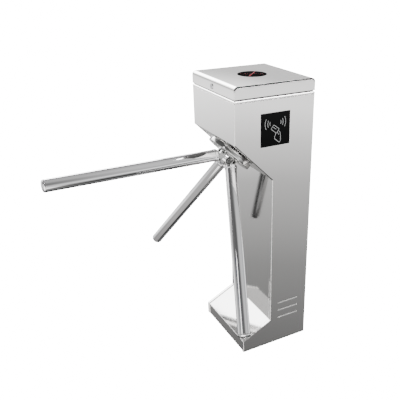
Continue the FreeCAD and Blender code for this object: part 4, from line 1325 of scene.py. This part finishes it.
@dataclass
class Studio:
    """The floor, the room, the soft lights and the camera."""

    azimuth: float = 60.4
    elevation: float = 24.65
    distance: float = 2.085
    aim: tuple = (0.0, 0.0, 0.5)
    lens: float = 50.5
    shift: tuple = (-0.13, 0.026)
    floor_half: float = 60.0
    backdrop: float = 18.0
    room: NodeBuilder = None

    def build(self) -> None:
        """Set up the stage."""
        self.build_floor()
        self.build_room()
        self.build_lights()
        self.build_camera()

    def build_floor(self) -> None:
        """Lay a plain pale floor; mirrors look through it at the room's own gradient."""
        half = self.floor_half
        corners = np.array([[-half, -half, 0], [half, -half, 0], [half, half, 0], [-half, half, 0]])
        floor = mesh_piece("studio_floor", corners, [[0, 1, 2, 3]], smooth=False)
        paint = Paint("pale_floor")
        paint.fix(Base_Color=(0.85, 0.85, 0.85, 1.0), Roughness=0.9)
        clear = paint.add("ShaderNodeBsdfTransparent")
        seen = paint.add("ShaderNodeEmission")
        seen.inputs["Strength"].default_value = self.backdrop
        rays = paint.add("ShaderNodeLightPath")
        for_mirrors = paint.choose(rays.outputs["Is Glossy Ray"], paint.shader, clear)
        lit = paint.add("ShaderNodeAddShader")
        paint.lead(paint.shader.outputs[0], lit.inputs[0])
        paint.lead(seen.outputs[0], lit.inputs[1])
        for_camera = paint.choose(rays.outputs["Is Camera Ray"], for_mirrors, lit)
        paint.lead(for_camera.outputs[0], paint.tree.nodes["Material Output"].inputs["Surface"])
        floor.data.materials.append(paint.material)

    def build_room(self) -> None:
        """Light the room: plain white for matt surfaces, a gradient for mirrors.

        What a mirror sees depends on the upward part z of its ray. Three ramps over z stand for
        the room's right and back, its front and its left, and two fixed tones for the walkway's
        floor and the bright patch beside it. Four masks, each a smooth step over the ray's part
        towards one direction, lay the others over the first. The camera sees a plain backdrop.
        """
        world = bpy.data.worlds.new("studio_room")
        bpy.context.scene.world = world
        world.use_nodes = True
        self.room = NodeBuilder(world.node_tree)
        matt = self.room.tree.nodes["Background"]
        matt.inputs["Color"].default_value = (1.0, 1.0, 1.0, 1.0)
        matt.inputs["Strength"].default_value = 1.1
        ray = self.room.add("ShaderNodeTexCoord").outputs["Generated"]
        low = ((-1.0, 0.01), (-0.985, 0.02), (-0.955, 0.38), (-0.925, 0.38), (-0.895, 0.02),
               (-0.78, 0.03), (-0.70, 0.10), (-0.62, 0.20), (-0.50, 0.36), (-0.37, 0.72))
        sides = self.tones(ray, low + ((-0.3, 1.2), (-0.24, 1.9), (-0.12, 1.3), (0.0, 0.65), (0.2, 0.70),
                                       (0.42, 0.85), (0.88, 0.85), (1.0, 0.6)))
        front = self.tones(ray, low + ((-0.25, 1.15), (-0.10, 1.10), (0.0, 0.9), (0.22, 0.5),
                                       (0.42, 0.20), (0.85, 0.13), (1.0, 0.4)))
        left = self.tones(ray, low + ((-0.3, 1.4), (-0.22, 2.3), (0.0, 1.0), (0.2, 1.0), (0.36, 6.0),
                                      (0.5, 6.0), (0.56, 0.4), (0.85, 0.3), (1.0, 0.4)))
        mixed = sides
        for side, start, end, tone in (
            ((0.34, -0.94, 0.0), -0.1, 0.4, front),
            ((-0.94, 0.34, 0.0), 0.1, 0.5, left),
            ((0.449, -0.79, -0.417), 0.45, 0.80, (0.6, 0.59, 0.58, 1.0)),
            ((0.709, -0.554, -0.43), 0.79, 0.86, (3.4, 3.35, 3.3, 1.0)),
        ):
            mixed = self.room.mix(self.side_mask(ray, side, start, end), mixed, tone)
        mirror = self.room.add("ShaderNodeBackground")
        self.room.lead(mixed, mirror.inputs["Color"])
        mirror.inputs["Strength"].default_value = 1.0
        rays = self.room.add("ShaderNodeLightPath")
        choice = self.room.choose(rays.outputs["Is Glossy Ray"], matt, mirror)
        seen = self.room.add("ShaderNodeBackground")
        seen.inputs["Strength"].default_value = self.backdrop
        backdrop = self.room.choose(rays.outputs["Is Camera Ray"], choice, seen)
        self.room.lead(backdrop.outputs[0], self.room.tree.nodes["World Output"].inputs["Surface"])

    def tones(self, ray: bpy.types.NodeSocket, stops: tuple) -> bpy.types.NodeSocket:
        """A ramp of greys over the upward part of a ray.

        Args:
            ray: the ray's direction.
            stops: (upward part from -1 to 1, brightness) pairs.

        Returns:
            The ramp's colour.
        """
        parts = self.room.add("ShaderNodeSeparateXYZ")
        self.room.lead(ray, parts.inputs[0])
        spread = self.room.add("ShaderNodeMapRange")
        spread.inputs["From Min"].default_value = -1.0
        self.room.lead(parts.outputs["Z"], spread.inputs["Value"])
        ramp = self.room.add("ShaderNodeValToRGB")
        self.room.lead(spread.outputs["Result"], ramp.inputs[0])
        ramp.color_ramp.elements.remove(ramp.color_ramp.elements[1])
        for number, (height, tone) in enumerate(stops):
            place = (height + 1.0) / 2.0
            stop = ramp.color_ramp.elements.new(place) if number else ramp.color_ramp.elements[0]
            stop.position = place
            stop.color = (tone, tone, tone, 1.0)
        return ramp.outputs[0]

    def side_mask(self, ray: bpy.types.NodeSocket, side: tuple, low: float,
                  high: float) -> bpy.types.NodeSocket:
        """A smooth step over how far a ray points to one side.

        Args:
            ray: the ray's direction.
            side: the side's direction.
            low: the part towards it where the step starts.
            high: the part where it ends.

        Returns:
            The step, from nought to one.
        """
        product = self.room.add("ShaderNodeVectorMath", operation="DOT_PRODUCT")
        self.room.lead(ray, product.inputs[0])
        product.inputs[1].default_value = side
        step = self.room.add("ShaderNodeMapRange", interpolation_type="SMOOTHSTEP")
        step.inputs["From Min"].default_value = low
        step.inputs["From Max"].default_value = high
        self.room.lead(product.outputs["Value"], step.inputs["Value"])
        return step.outputs["Result"]

    def add_light(self, name: str, place: tuple, target: tuple, size: tuple, power: float) -> None:
        """Hang a soft rectangular light and point it.

        Args:
            name: the light's name.
            place: where it hangs.
            target: where it points.
            size: its width and height.
            power: its power in watts.
        """
        light = bpy.data.lights.new(name, "AREA")
        light.shape = "RECTANGLE"
        light.size, light.size_y = size
        light.energy = power
        holder = bpy.data.objects.new(name, light)
        holder.location = place
        holder.rotation_euler = (Vector(target) - Vector(place)).to_track_quat("-Z", "Y").to_euler()
        holder.visible_camera = False
        bpy.context.scene.collection.objects.link(holder)

    def build_lights(self) -> None:
        """Hang the key, the fill and the rim light over the reader's side."""
        self.add_light("key_light", (-2.4, -0.1, 2.0), (0, 0, 0.3), (1.5, 1.2), 45.0)
        self.add_light("fill_light", (1.6, -3.0, 2.2), (0, 0, 0.5), (0.5, 2.2), 14.0)
        self.add_light("rim_light", (0.374, 0.5, 1.75), (0.374, 0.5, 0.0), (0.16, 0.62), 7.0)

    def build_camera(self) -> None:
        """Stand the camera on its circle round the object and look at the aim point."""
        az, el = math.radians(self.azimuth), math.radians(self.elevation)
        back = Vector((math.sin(az) * math.cos(el), -math.cos(az) * math.cos(el), math.sin(el)))
        camera = bpy.data.cameras.new("camera")
        camera.lens = self.lens
        camera.shift_x, camera.shift_y = self.shift
        holder = bpy.data.objects.new("camera", camera)
        holder.location = Vector(self.aim) + back * self.distance
        holder.rotation_euler = back.to_track_quat("Z", "Y").to_euler()
        bpy.context.scene.collection.objects.link(holder)
        bpy.context.scene.camera = holder


def main() -> None:
    """Build and dress the turnstile in order, then set the stage."""
    logging.basicConfig(level=logging.INFO, format="%(message)s")
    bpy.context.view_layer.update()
    Cabinet().build()
    Lid().build()
    Reader().build()
    TripodHub().build()
    for number in range(1, ARM_COUNT + 1):
        Arm(number).build()
    Mechanism().build()
    Studio().build()


if __name__ == "__main__":
    main()
